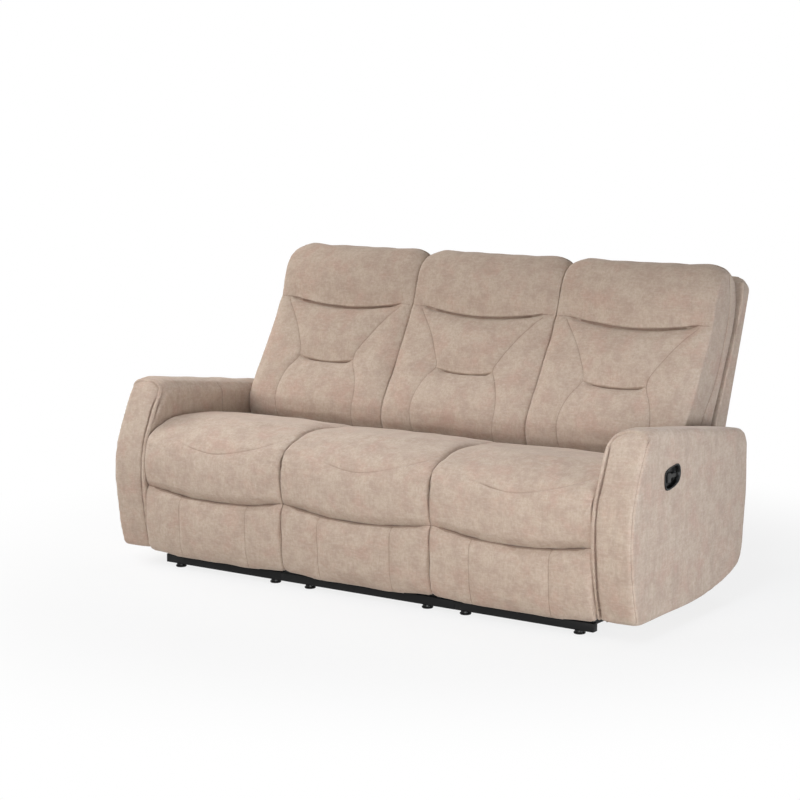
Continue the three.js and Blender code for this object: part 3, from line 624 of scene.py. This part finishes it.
def sew(piece, lines, depth=0.0016, pull=0.0025, pull_width=0.014, strength=None, drawn=1.0, cuts=3):
    """Draws a cover in along its seams: a fine crease, with the cloth pulled in on both sides.
    Where the strength falls from 1 to 0, the seam dies out."""
    for reach in (0.01, 0.0065, 0.004)[:cuts]:
        refine(piece, distance_to(points_of(piece), lines) < reach)
    points = points_of(piece)
    away = distance_to(points, lines)
    share = np.ones(len(points)) if strength is None else strength(points)
    inward = share * (depth * dent(away, 0.0026) + pull * dent(away, pull_width))
    move_points(piece, points - normals_of(piece) * inward[:, None])
    mark(piece, away / drawn + 0.01 * (1 - share))


def mark(piece, away):
    """Keeps each point's distance from the nearest seam or shaded crease, in millimetres, for the cloth's
    material, which draws a dark line and painted shade there.
    """
    far = 50
    known = np.full(len(away), far, np.float32)
    seam = piece.data.attributes.get("seam")
    if seam:
        seam.data.foreach_get("value", known)
    else:
        seam = piece.data.attributes.new("seam", "FLOAT", "POINT")
    seam.data.foreach_set("value", np.minimum(known, away * 1000).astype(np.float32))


def edge_along(points, chosen, pick):
    """The lowest or highest height of some of a seat's points, as it runs along the sofa."""
    bounds = np.linspace(-half_seat, half_seat, 37)
    across = points[:, 0]
    strips = [chosen & (across >= left) & (across < right) for left, right in zip(bounds, bounds[1:])]
    centres = (bounds[1:] + bounds[:-1]) / 2
    return np.interp(across, centres, [pick(points[strip, 2]) for strip in strips])


def shifted(piece, name, offset, mirror=False):
    """A second piece with the same shape, moved along the sofa, or turned left for right as well."""
    mesh = piece.data.copy()
    mesh.name = name
    if mirror:
        mesh.transform(Matrix.Scale(-1, 4, (1, 0, 0)))
        mesh.flip_normals()
    mesh.transform(Matrix.Translation((offset, 0, 0)))
    copy = bpy.data.objects.new(name, mesh)
    scene.collection.objects.link(copy)
    return copy


def unsettle(piece, seed, amount, length=0.11):
    """Moves a cover's surface in and out a little, in slow waves, so that no two are the same."""
    points = points_of(piece)
    rng = np.random.default_rng(seed)
    height = np.zeros(len(points))
    for _ in range(9):
        turn = rng.normal(size=3)
        turn *= 2 * math.pi / (length * rng.uniform(0.7, 1.8)) / np.linalg.norm(turn)
        height += np.sin(points @ turn + rng.uniform(0, 2 * math.pi))
    move_points(piece, points + normals_of(piece) * (height * amount / 3)[:, None])


def stitch(name, lines, node, finish, every=0.004, thickness=0.00045):
    """Rows of thread, each stitch a short bar that lies half in the cloth."""
    form = bmesh.new()
    for line in lines:
        spots = np.array([tuple(spot) for spot, _ in line])
        run = np.concatenate([[0], np.cumsum(np.linalg.norm(np.diff(spots, axis=0), axis=1))])
        count = int(run[-1] / every)
        for number in range(count):
            at = (number + 0.5) * every
            here = Vector([np.interp(at, run, spots[:, axis]) for axis in range(3)])
            ahead = Vector([np.interp(at + every / 2, run, spots[:, axis]) for axis in range(3)])
            along = (ahead - here).normalized()
            normal = line[min(len(line) - 1, int(np.searchsorted(run, at)))][1]
            across = along.cross(normal).normalized()
            turn = Matrix((along, across, across.cross(along))).transposed().to_4x4()
            size = Matrix.Diagonal((every * 0.4, thickness, thickness, 1))
            bmesh.ops.create_icosphere(
                form, subdivisions=1, radius=1, matrix=Matrix.Translation(here) @ turn @ size,
            )
    row = piece_from(form, name)
    rounded(row, 60)
    row.data.materials.append(finish)
    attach(row, body_of(frame["nodes"][node])[0])
    return row


cloth = microfibre("microfibre")
thread, thread_tree, thread_shader = new_finish("sewing_thread", colour(176, 154, 136), 0.7)
spin = put(thread_tree, "ShaderNodeTexCoord").outputs["Object"]
embossed(thread_tree, thread_shader, grain(thread_tree, spin, 2600, 1), 0.0002, 0.6)

low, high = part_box("middle_front_pad")
pad_seam = 0.143
pad = padding("front_pad_pattern", "middle_front_pad", voxel=0.007, passes=8)
points = points_of(pad)
held = (points[:, 1] > high.y - 0.012) | (np.abs(np.abs(points[:, 0]) - pad_seam) < 0.006)
inflate(pad, held, pressure=1.2, cap=0.008, calm=8)
points = points_of(pad)
corner_share = 1.01
points[:, 0] = np.clip(points[:, 0] * corner_share, -half_seat + 0.0008, half_seat - 0.0008)
points[:, 1] = np.minimum(points[:, 1], high.y)
pad_reach = 0.006
pad_corner_reach = 0.006
pad_foot_reach = 0.005
pad_roll = 0.01
pad_painted_shade_band = 0.006
at_end = fade(np.abs(points[:, 0]), half_seat - 0.045, half_seat - 0.008)
reach = pad_reach + pad_corner_reach * at_end
points[:, 2] += reach * fade(points[:, 2], high.z - 0.07, high.z - 0.03)
below_top = edge_along(points, points[:, 1] < high.y, np.max) - points[:, 2]
points[:, 1] += pad_roll * (1 - fade(below_top, 0, 0.026))
points[:, 2] -= pad_foot_reach * fade(-points[:, 2], -low.z - 0.04, -low.z - 0.01)
move_points(pad, points)
# Painted shade: the pad's top edge, where it meets the lip, is marked like a seam so that the cloth's
# material darkens the crease.
mark(pad, np.maximum(below_top - pad_painted_shade_band, 0))
heights = np.arange(low.z + 0.004, high.z - 0.002, 0.002)
pad_lines = [laid(pad, [(end, front, z) for z in heights], (0, 1, 0)) for end in (-pad_seam, pad_seam)]
sew(pad, pad_lines, depth=0.0012, pull=0.002)


def beside(line, away):
    """A line moved sideways on its surface, for a row of stitches beside a seam."""
    spots = [spot for spot, _ in line]
    moved = []
    for here, ahead, (spot, normal) in zip(spots, spots[1:], line):
        across = (ahead - here).cross(normal)
        if across.length > 0:
            moved.append((spot + across.normalized() * away, normal))
    return moved


def resting(piece, line, depth=0.0001):
    """A line laid on the nearest points of a piece, sunk a little into its nap."""
    surface = surface_of(piece)
    found = [surface.find_nearest(spot) for spot, _ in line]
    return [(spot - normal * depth, normal) for spot, normal, *_ in found]


def placed_line(line, offset, mirror=False):
    """A line on a pattern piece, moved with the pattern to its own seat."""
    turn = Vector((-1 if mirror else 1, 1, 1))
    step = Vector((offset, 0, 0))
    return [(spot * turn + step, normal * turn) for spot, normal in line]


stitch_gap = 0.005
pad_rows = [beside(line, sign * stitch_gap) for line in pad_lines for sign in (-1, 1)]
for place, side in places.items():
    node = "middle_front_pad" if side == 0 else f"{place}_footrest_pad"
    board = "middle_front_board" if side == 0 else f"{place}_footrest_board"
    edged(board, wood, 0.001)
    cover = shifted(pad, f"{node}_cover", side * seat_pitch, mirror=place == "right")
    unsettle(cover, 11 + side, 0.0009)
    rounded(cover, 80)
    take_place(cover, node, cloth)
    rows = [resting(cover, placed_line(row, side * seat_pitch, place == "right")) for row in pad_rows]
    stitch(f"{node}_stitches", rows, node, thread)
bpy.data.objects.remove(pad)

# Seat cushions
# Each seat is a foam block in a microfibre cover that rounds over its front and hangs down as a lip.
# One curved seam across the front joins the top panel to the lip's, and it is stitched again below.
low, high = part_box("middle_seat_cushion")
seam_low = 0.428
seam_rise = 0.064
seam_half = 0.268
lip_hang = 0.0085
lip_corner_hang = 0.009
end_draw = 0.004
lip_roll = 0.015
lip_painted_shade_band = 0.0015
seat = padding("seat_pattern", "middle_seat_cushion", voxel=0.008, passes=10)
points = points_of(seat)
seat_arc = seam_low + seam_rise * (np.abs(points[:, 0]) / seam_half) ** 1.6
on_arc = (np.abs(points[:, 2] - seat_arc) < 0.006) & (points[:, 1] < front + 0.06)
hidden = (normals_of(seat)[:, 2] < -0.5) | (points[:, 1] > high.y - 0.03)
inflate(seat, hidden | on_arc, pressure=1.0, cap=0.012, calm=40)
points = points_of(seat)
points[:, 0] = np.clip(points[:, 0] * corner_share, -half_seat + 0.0006, half_seat - 0.0006)
at_end = fade(np.abs(points[:, 0]), half_seat - 0.05, half_seat - 0.008)
hang = lip_hang + lip_corner_hang * at_end
points[:, 2] -= hang * fade(-points[:, 2], -low.z - 0.09, -low.z - 0.04)
drawn_in = end_draw * dent(points[:, 2] - 0.4, 0.05) * (1 - fade(points[:, 1], front + 0.03, front + 0.09))
points[:, 0] -= np.sign(points[:, 0]) * drawn_in * fade(np.abs(points[:, 0]), half_seat - 0.05, half_seat)
in_front = points[:, 1] < front + 0.05
above_edge = points[:, 2] - edge_along(points, in_front, np.min)
points[:, 1] += lip_roll * in_front * (1 - fade(above_edge, 0, 0.034))
move_points(seat, points)
# Painted shade: the lip's lowest edge is marked like a seam so that the cloth's material darkens the crease
# over the pad.
mark(seat, np.maximum(above_edge - lip_painted_shade_band, 0))
refine(seat, points[:, 1] < front + 0.06)
ripple_reach = 0.025
ripple_height = 0.0018
points = points_of(seat)
for side in (-1, 1):
    corner = np.array((side * half_seat, front + 0.014, 0.43))
    apart = points - corner
    reach = np.linalg.norm(apart, axis=1)
    turn = np.arctan2(apart[:, 2], apart[:, 1] - side * apart[:, 0])
    ripple = np.sin(9 * turn + 1.3 * side) * dent(reach - 0.03, ripple_reach)
    points += normals_of(seat) * (ripple_height * ripple)[:, None]
move_points(seat, points)
across = np.linspace(-seam_half - 0.006, seam_half + 0.006, 220)
seat_route = [(x, front - 0.01, seam_low + seam_rise * (abs(x) / seam_half) ** 1.6) for x in across]
seat_line = laid(seat, seat_route, (0, 1, 0))
sew(seat, [seat_line], depth=0.0014, pull=0.0018, strength=lambda at: fade(at[:, 0], -0.24, -0.08))
seat_row = beside([at for at in seat_line if at[0].x > -0.1], -stitch_gap)
for place, side in places.items():
    node = f"{place}_seat_cushion"
    cover = shifted(seat, f"{node}_cover", side * seat_pitch)
    unsettle(cover, 31 + side, 0.0012, 0.14)
    rounded(cover, 80)
    take_place(cover, node, cloth)
    rows = [resting(cover, placed_line(seat_row, side * seat_pitch))]
    stitch(f"{node}_stitches", rows, node, thread)
bpy.data.objects.remove(seat)

# Backs
# Each back is a ladder of steel tube with a cushion in front and a padded shell behind. The cushion's
# cover is tacked down along two folds: one under the head roll, and a short one across the small of
# the back. Seams run from the folds' ends to the sides and the foot.
slope = math.radians(25.6)
back_foot = Vector((0, front + 0.598, 0.455))
up_slope = Vector((0, math.sin(slope), math.cos(slope)))
rearwards = Vector((0, math.cos(slope), -math.sin(slope)))


def to_slope(points):
    """Places on the back: across, up its slope and rearwards from its foot."""
    moved = points - np.array(back_foot)
    return np.stack([moved[:, 0], moved @ np.array(up_slope), moved @ np.array(rearwards)], axis=1)


def from_slope(places_on_back):
    frame_of_back = np.array([(1, 0, 0), tuple(up_slope), tuple(rearwards)])
    return np.asarray(places_on_back) @ frame_of_back + np.array(back_foot)


head_low, head_rise, head_half = 0.434, 0.028, 0.24
waist_low, waist_rise, waist_half = 0.221, 0.011, 0.117


def head_fold(x):
    return head_low + head_rise * np.minimum(np.abs(x) / head_half, 1.0) ** 2


def waist_fold(x):
    return waist_low + waist_rise * (x / waist_half) ** 2


crown_drop = 0.008
rim_reach = -0.003
end_reach = 0.006
back = padding("back_pattern", "middle_back_cushion", voxel=0.008, passes=10)
local = to_slope(points_of(back))
across = np.abs(local[:, 0])
local[:, 1] -= crown_drop * fade(across, 0.21, half_seat + 0.01) * fade(local[:, 1], 0.55, 0.68)
local[:, 2] += rim_reach * fade(across, half_seat - 0.06, half_seat - 0.02) * fade(local[:, 2], 0.06, 0.12)
local[:, 0] += np.sign(local[:, 0]) * end_reach * fade(across, half_seat - 0.045, half_seat - 0.01)
move_points(back, from_slope(local))
points = points_of(back)
facing = normals_of(back) @ -np.array(rearwards)
x, u = local[:, 0], local[:, 1]
flank = [(0.245, 0.45), (0.176, 0.36), (0.124, 0.266), (0.116, 0.236)]
lower = [(0.116, 0.233), (0.152, 0.168), (0.170, 0.095), (0.163, 0.0), (0.162, -0.03)]


def routes(side):
    """The panel seams of one side, as curves on the back's face."""
    return [curve_through(line) * (side, 1) for line in (flank, lower)]


def on_face(line, ahead=0.3):
    """A line across the back's face, in space and in front of it."""
    return from_slope([(x, u, -ahead) for x, u in line])


panel_lines = [laid(back, on_face(line), rearwards) for side in (-1, 1) for line in routes(side)]
near_panel = distance_to(points, panel_lines) < 0.006
near_head = (np.abs(u - head_fold(x)) < 0.006) & (np.abs(x) < head_half) & (facing > 0.3)
near_waist = (np.abs(u - waist_fold(x)) < 0.006) & (np.abs(x) < waist_half) & (facing > 0.3)
hidden = facing < -0.3
inflate(back, hidden | near_panel | near_head | near_waist, pressure=1.0, cap=0.012, calm=24)


def near_fold(local, facing, reach):
    """The points beside the two folds."""
    off_head = np.abs(local[:, 1] - head_fold(local[:, 0]))
    off_waist = np.abs(local[:, 1] - waist_fold(local[:, 0]))
    across = np.abs(local[:, 0])
    by_head = (off_head < reach) & (across < head_half + 0.02)
    by_waist = (off_waist < reach) & (across < waist_half + 0.02)
    return (facing > 0.2) & (by_head | by_waist)


def facing_of(piece):
    """How squarely each point of a back looks forward."""
    return np.clip(normals_of(piece) @ -np.array(rearwards), 0, 1)


def tuck(local, facing, fold, mask, draw, depth, hang):
    """Pulls the cover in along a fold: a slow dip, and a sharp crease that the roll above hangs over."""
    past = local[:, 1] - fold
    slow = np.where(past > 0, dent(past, 0.055), dent(past, 0.025))
    sharp = np.where(past > 0, dent(past, 0.0035), dent(past, 0.007))
    local[:, 2] += (draw * slow + depth * sharp) * mask * facing
    local[:, 1] -= hang * dent(past - 0.007, 0.008) * mask * facing


for reach in (0.03, 0.02, 0.012):
    refine(back, near_fold(to_slope(points_of(back)), facing_of(back), reach))
local = to_slope(points_of(back))
facing = facing_of(back)
head_mask = 1 - fade(np.abs(local[:, 0]), head_half - 0.05, head_half + 0.012)
waist_mask = 1 - fade(np.abs(local[:, 0]), waist_half - 0.035, waist_half + 0.008)
tuck(local, facing, head_fold(local[:, 0]), head_mask, draw=0.006, depth=0.012, hang=0.0035)
tuck(local, facing, waist_fold(local[:, 0]), waist_mask, draw=0.005, depth=0.011, hang=0.003)
points = from_slope(local)
points[:, 0] = np.clip(points[:, 0], -half_seat + 0.0006, half_seat - 0.0006)
move_points(back, points)
# Painted shade along the head and waist folds: their distance goes into the seam attribute, so the cloth's
# material darkens the creases. Faces looking rearwards are left out.
off_head = np.abs(local[:, 1] - head_fold(local[:, 0]) + 0.001) + 0.02 * (1 - head_mask)
off_waist = np.abs(local[:, 1] - waist_fold(local[:, 0]) + 0.001) + 0.02 * (1 - waist_mask)
mark(back, np.minimum(off_head, off_waist) + 0.05 * (facing < 0.05))

head_line = [(x, head_fold(x)) for x in np.arange(-half_seat + 0.01, half_seat - 0.01, 0.002)]
panel_lines = [laid(back, on_face(line), rearwards) for side in (-1, 1) for line in routes(side)]
head_line = laid(back, on_face(head_line), rearwards)
gusset = curve_through([
    (0.008, 0.68), (0.021, 0.655), (0.042, 0.622), (0.065, 0.585), (0.084, 0.51), (0.092, 0.43),
    (0.094, 0.346), (0.086, 0.27), (0.064, 0.185), (0.052, 0.1), (0.048, 0.03),
])
gusset_lines = [
    laid(back, from_slope([(side * 0.35, u, v) for v, u in gusset]), (-side, 0, 0)) for side in (-1, 1)
]
crown_route = [(x, 0.75, 0.012) for x in np.arange(-half_seat + 0.02, half_seat - 0.02, 0.002)]
crown_line = laid(back, from_slope(crown_route), -up_slope)
sew(back, panel_lines + [head_line], depth=0.0012, pull=0.0022, pull_width=0.012)
sew(back, gusset_lines, depth=0.003, pull=0.001, pull_width=0.008, drawn=2.2)
sew(back, [crown_line], depth=0.0012, pull=0.001, pull_width=0.008)

back_rows = [beside(line, sign * stitch_gap) for line in panel_lines for sign in (-1, 1)]
shell_widening = 0.006
shell_setback = 0.007
shell_bead = 0.164
shell_seam = half_seat - 0.03
shell_top = 0.655
flap_seam = -0.09
for place, side in places.items():
    edged(f"{place}_back_frame", coat, 0.001)
    node = f"{place}_back_cushion"
    cover = shifted(back, f"{node}_cover", side * seat_pitch, mirror=place == "middle")
    unsettle(cover, 51 + side, 0.0008, 0.16)
    rounded(cover, 80)
    take_place(cover, node, cloth)
    rows = [resting(cover, placed_line(row, side * seat_pitch, place == "middle")) for row in back_rows]
    stitch(f"{node}_stitches", rows, node, thread)
    node = f"{place}_back_shell"
    shell = padding(f"{node}_cover", node, voxel=0.007, passes=8)
    mid = side * seat_pitch
    local = to_slope(points_of(shell))
    across = local[:, 0] - mid
    at_side = fade(np.abs(across), 0.24, 0.28)
    local[:, 2] += shell_setback * at_side * (1 - fade(local[:, 2], 0.16, 0.22))
    local[:, 0] += side * shell_widening * fade(side * across, 0.2, 0.27)
    move_points(shell, from_slope(local))
    rim = [(end, u) for end in (-shell_seam, shell_seam) for u in np.arange(-0.2, shell_top, 0.003)]
    cross = np.arange(-shell_seam, shell_seam, 0.003)
    rear_routes = [
        [(x, u, 0.4) for x, u in rim if x < 0], [(x, u, 0.4) for x, u in rim if x > 0],
        [(x, shell_top, 0.4) for x in cross], [(x, flap_seam, 0.4) for x in cross],
    ]
    rear_lines = [
        laid(shell, from_slope(np.array(route) + (mid, 0, 0)), -rearwards) for route in rear_routes
    ]
    rise = np.arange(-0.08, 0.64, 0.003)
    bead_routes = [(end, [(mid + 0.4 * end, u, shell_bead) for u in rise]) for end in (-1, 1)]
    bead_lines = [laid(shell, from_slope(route), (-end, 0, 0)) for end, route in bead_routes]
    sew(shell, rear_lines + bead_lines, depth=0.0016, pull=0.002, cuts=2)
    rounded(shell, 80)
    take_place(shell, node, cloth)
bpy.data.objects.remove(back)

# Handles
# Each arm has a black plastic cup let into its outer side, held by clips, with a T-shaped paddle inside
# that the hand pulls to free the seat's latch.
low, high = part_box("right_handle_bezel")
handle_middle = (low + high) / 2
rim_face = high.x
rim_thickness = 0.003
cup_depth = high.x - low.x - rim_thickness
handle_outline = [
    (0.031, 0.036), (0.0465, 0.026), (0.051, 0.006), (0.0435, -0.016), (0.022, -0.029), (-0.004, -0.0355),
    (-0.034, -0.038), (-0.048, -0.029), (-0.051, -0.006), (-0.049, 0.015), (-0.038, 0.025), (-0.005, 0.033),
]
cup_profile = [
    (0.84, -0.0185), (0.89, -0.016), (0.9, -0.003), (0.98, -0.0029), (1.0, -0.0022), (1.0, -0.0012),
    (0.985, -0.0003), (0.95, 0), (0.9, -0.0006), (0.87, -0.002), (0.85, -0.006), (0.82, -0.013),
    (0.78, -0.0155), (0.7, -0.0165),
]


def closed_curve(points, steps=5):
    """A smooth closed curve through points in the plane."""
    here = np.array(points, float)
    before, ahead, beyond = (np.roll(here, turn, axis=0) for turn in (1, -1, -2))
    t = np.linspace(0, 1, steps, endpoint=False)[:, None, None]
    curve = 0.5 * (
        2 * here + (ahead - before) * t + (2 * before - 5 * here + 4 * ahead - beyond) * t**2
        + (3 * here - before - 3 * ahead + beyond) * t**3
    )
    return curve.transpose(1, 0, 2).reshape(-1, 2)


def ringed_cup(name, profile):
    """A cup with the handle's outline: rings of it, scaled and set back, each bridged to the next."""
    loop = closed_curve(handle_outline)
    form = bmesh.new()
    rings = []
    for share, back in profile:
        ring = [
            form.verts.new((rim_face + back, handle_middle.y + share * y, handle_middle.z + share * z))
            for y, z in loop
        ]
        rings.append([form.edges.new(pair) for pair in zip(ring, ring[1:] + ring[:1])])
    for inner, outer in zip(rings, rings[1:]):
        bmesh.ops.bridge_loops(form, edges=inner + outer)
    bmesh.ops.holes_fill(form, edges=rings[0] + rings[-1], sides=0)
    bmesh.ops.recalc_face_normals(form, faces=form.faces)
    return piece_from(form, name)


def paddle_form(name):
    """A T cut from plate: an upright grip and the stem that runs from it to the pivot."""
    low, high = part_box("right_release_lever")
    grip_rear, grip_front, grip_low, grip_high = -0.0245, -0.003, -0.0175, 0.0125
    stem_end, stem_low, stem_high = 0.0345, -0.005, 0.008
    outline = [
        (grip_rear, grip_low), (grip_front, grip_low), (grip_front, stem_low), (stem_end, stem_low),
        (stem_end, stem_high), (grip_front, stem_high), (grip_front, grip_high), (grip_rear, grip_high),
    ]
    form = bmesh.new()
    corners = [form.verts.new((low.x, handle_middle.y + y, handle_middle.z + z)) for y, z in outline]
    face = form.faces.new(corners)
    bmesh.ops.bevel(
        form, geom=corners, offset=0.002, affect="VERTICES", segments=4, profile=0.5, material=-1,
    )
    raised = bmesh.ops.extrude_face_region(form, geom=form.faces[:])["geom"]
    top = [part for part in raised if isinstance(part, bmesh.types.BMVert)]
    bmesh.ops.translate(form, vec=(high.x - low.x + 0.002, 0, 0), verts=top)
    bmesh.ops.recalc_face_normals(form, faces=form.faces)
    rims = [edge for edge in form.edges if abs(edge.verts[0].co.x - edge.verts[1].co.x) < 1e-6]
    bmesh.ops.bevel(
        form, geom=rims, offset=0.0012, affect="EDGES", segments=3, profile=0.5, material=-1,
    )
    return piece_from(form, name)


cup = ringed_cup("cup_pattern", cup_profile)
paddle = paddle_form("paddle_pattern")
for place in ("left", "right"):
    for pattern, node in ((cup, f"{place}_handle_bezel"), (paddle, f"{place}_release_lever")):
        piece = shifted(pattern, f"{node}_moulded", 0, mirror=place == "left")
        rounded(piece, 40)
        take_place(piece, node, plastic)
bpy.data.objects.remove(paddle)

# Arms
# Each arm is a timber frame in a thick padded cover, hollow inside and open below. A raised welt runs
# up the inner edge of the front panel and over the top, and a seam closes the panel outside.
brushed = microfibre("brushed_microfibre", streaks=0.3)
arm_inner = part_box("right_arm_upholstery")[0].x
arm_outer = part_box("right_arm_upholstery")[1].x
arm_width = arm_outer - arm_inner
welt_half = 0.008
welt_rise = 0.006
arm_bulge = 0.01
frame_gap = 0.0005


def hulled(form, points):
    """Keeps only the skin stretched round some of a form's points."""
    hull = bmesh.ops.convex_hull(form, input=points)
    skin = {face for face in hull["geom"] if isinstance(face, bmesh.types.BMFace)}
    bmesh.ops.delete(form, geom=[face for face in form.faces if face not in skin], context="FACES_ONLY")
    loose = [v for v in form.verts if not v.link_faces]
    bmesh.ops.delete(form, geom=loose, context="VERTS")
    spare = [edge for edge in form.edges if not edge.link_faces]
    bmesh.ops.delete(form, geom=spare, context="EDGES")
    bmesh.ops.recalc_face_normals(form, faces=form.faces)


def cut_out(piece, cutter):
    """Cuts a closed form out of a piece, and throws the cutter away."""
    take = piece.modifiers.new("cut", "BOOLEAN")
    take.operation = "DIFFERENCE"
    take.solver = "EXACT"
    take.object = cutter
    settle(piece)
    bpy.data.objects.remove(cutter)


arm = copied("arm_pattern", "right_arm_upholstery")
form = form_of(arm)
hulled(form, form.verts)
keep_form(form, arm)
even_mesh(arm, 0.007)
relax(arm, 8)
points = points_of(arm)
swell = dent(points[:, 2] - 0.57, 0.055) * (1 - fade(points[:, 1], front + 0.1, front + 0.22))
points[:, 0] -= arm_bulge * swell * fade(-points[:, 0], -arm_outer, -arm_inner)
move_points(arm, points)
surface = surface_of(arm)
middle = (arm_inner + arm_outer) / 2


def front_at(height):
    """How far forward the arm's front comes at a height."""
    return surface.ray_cast(Vector((middle, front - 0.3, height)), Vector((0, 1, 0)))[0].y


def on_arm(route):
    """A smooth line laid on the nearest part of the arm."""
    found = [surface.find_nearest(Vector(point)) for point in curve_through(route)]
    return [(spot, normal) for spot, normal, *_ in found]


def welt_line(aside, behind, across):
    """A line up the inner corner of the front, shifted aside on the front or behind on the inner side,
    and then over the top to the outer corner."""
    rising = [
        (arm_inner + aside, front_at(z) + behind, z) for z in (0.07, 0.14, 0.24, 0.34, 0.44, 0.51, 0.56)
    ]
    over = [
        (0.06, 0.092, 0.598), (0.2, 0.107, 0.62), (0.42, 0.114, 0.634), (0.66, 0.114, 0.637),
        (0.86, 0.112, 0.63), (0.98, 0.11, 0.614),
    ]
    taper = np.linspace(1, 0.1, len(over))
    crossing = [
        (arm_inner + share * arm_width, front + y + across * part, z)
        for (share, y, z), part in zip(over, taper)
    ]
    return on_arm(rising + crossing)


welt_centre = welt_line(0.001, 0.003, 0.016)
welt_lines = [welt_line(0.011, -0.004, 0.016 - welt_half), welt_line(-0.004, 0.013, 0.016 + welt_half)]
heights = (0.07, 0.16, 0.28, 0.4, 0.5, 0.56, 0.6, 0.615)
side_line = on_arm([(arm_outer, front_at(z) + 0.005, z) for z in heights])


def welt_share(at):
    """How full the welt is: it runs out towards the arm's outer side."""
    return 1 - fade(at[:, 0], arm_inner + 0.86 * arm_width, arm_outer + 0.004)


for reach in (0.022, 0.016):
    refine(arm, distance_to(points_of(arm), [welt_centre]) < reach)
points = points_of(arm)
away = distance_to(points, [welt_centre])
raised = welt_rise * (1 - np.clip(away / (welt_half * 1.1), 0, 1) ** 4)
move_points(arm, points + normals_of(arm) * (raised * welt_share(points))[:, None])
sew(arm, welt_lines, depth=0.0046, pull=0.0012, pull_width=0.008, strength=welt_share, drawn=2.2)
inner_line = on_arm([(arm_inner, front + 0.435, z) for z in (0.3, 0.42, 0.52, 0.59, 0.62)])
sew(arm, [side_line, inner_line], depth=0.0018, pull=0.0012, pull_width=0.008)

for place, side in (("left", -1), ("right", 1)):
    edged(f"{place}_arm_frame", wood, 0.002)
    node = f"{place}_arm_upholstery"
    cover = shifted(arm, f"{node}_cover", 0, mirror=place == "left")
    unsettle(cover, 71 + side, 0.0012, 0.2)

    pocket = shifted(cup, f"{place}_pocket", 0, mirror=place == "left")
    form = form_of(pocket)
    flange = [v for v in form.verts if abs(v.co.x) > rim_face - rim_thickness + 0.0004]
    bmesh.ops.delete(form, geom=flange, context="VERTS")
    beyond = bmesh.ops.duplicate(form, geom=form.verts)["geom"]
    ends = [part for part in beyond if isinstance(part, bmesh.types.BMVert)]
    bmesh.ops.translate(form, vec=(side * 0.04, 0, 0), verts=ends)
    hulled(form, form.verts)
    centre = sum((v.co for v in form.verts), Vector()) / len(form.verts)
    pocket_share = 0.93
    bmesh.ops.scale(
        form, vec=(1.0, pocket_share, pocket_share), space=Matrix.Translation(-centre), verts=form.verts,
    )
    keep_form(form, pocket)
    cut_out(cover, pocket)

    low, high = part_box(f"{place}_arm_frame")
    low = low - Vector((frame_gap, frame_gap, 0.1))
    high = high + Vector((frame_gap, frame_gap, frame_gap))
    form = bmesh.new()
    bmesh.ops.create_cube(form, size=1)
    bmesh.ops.scale(form, vec=high - low, verts=form.verts)
    bmesh.ops.translate(form, vec=(low + high) / 2, verts=form.verts)
    cut_out(cover, piece_from(form, f"{place}_room"))

    rounded(cover, 50)
    take_place(cover, node, brushed)
bpy.data.objects.remove(arm)
bpy.data.objects.remove(cup)
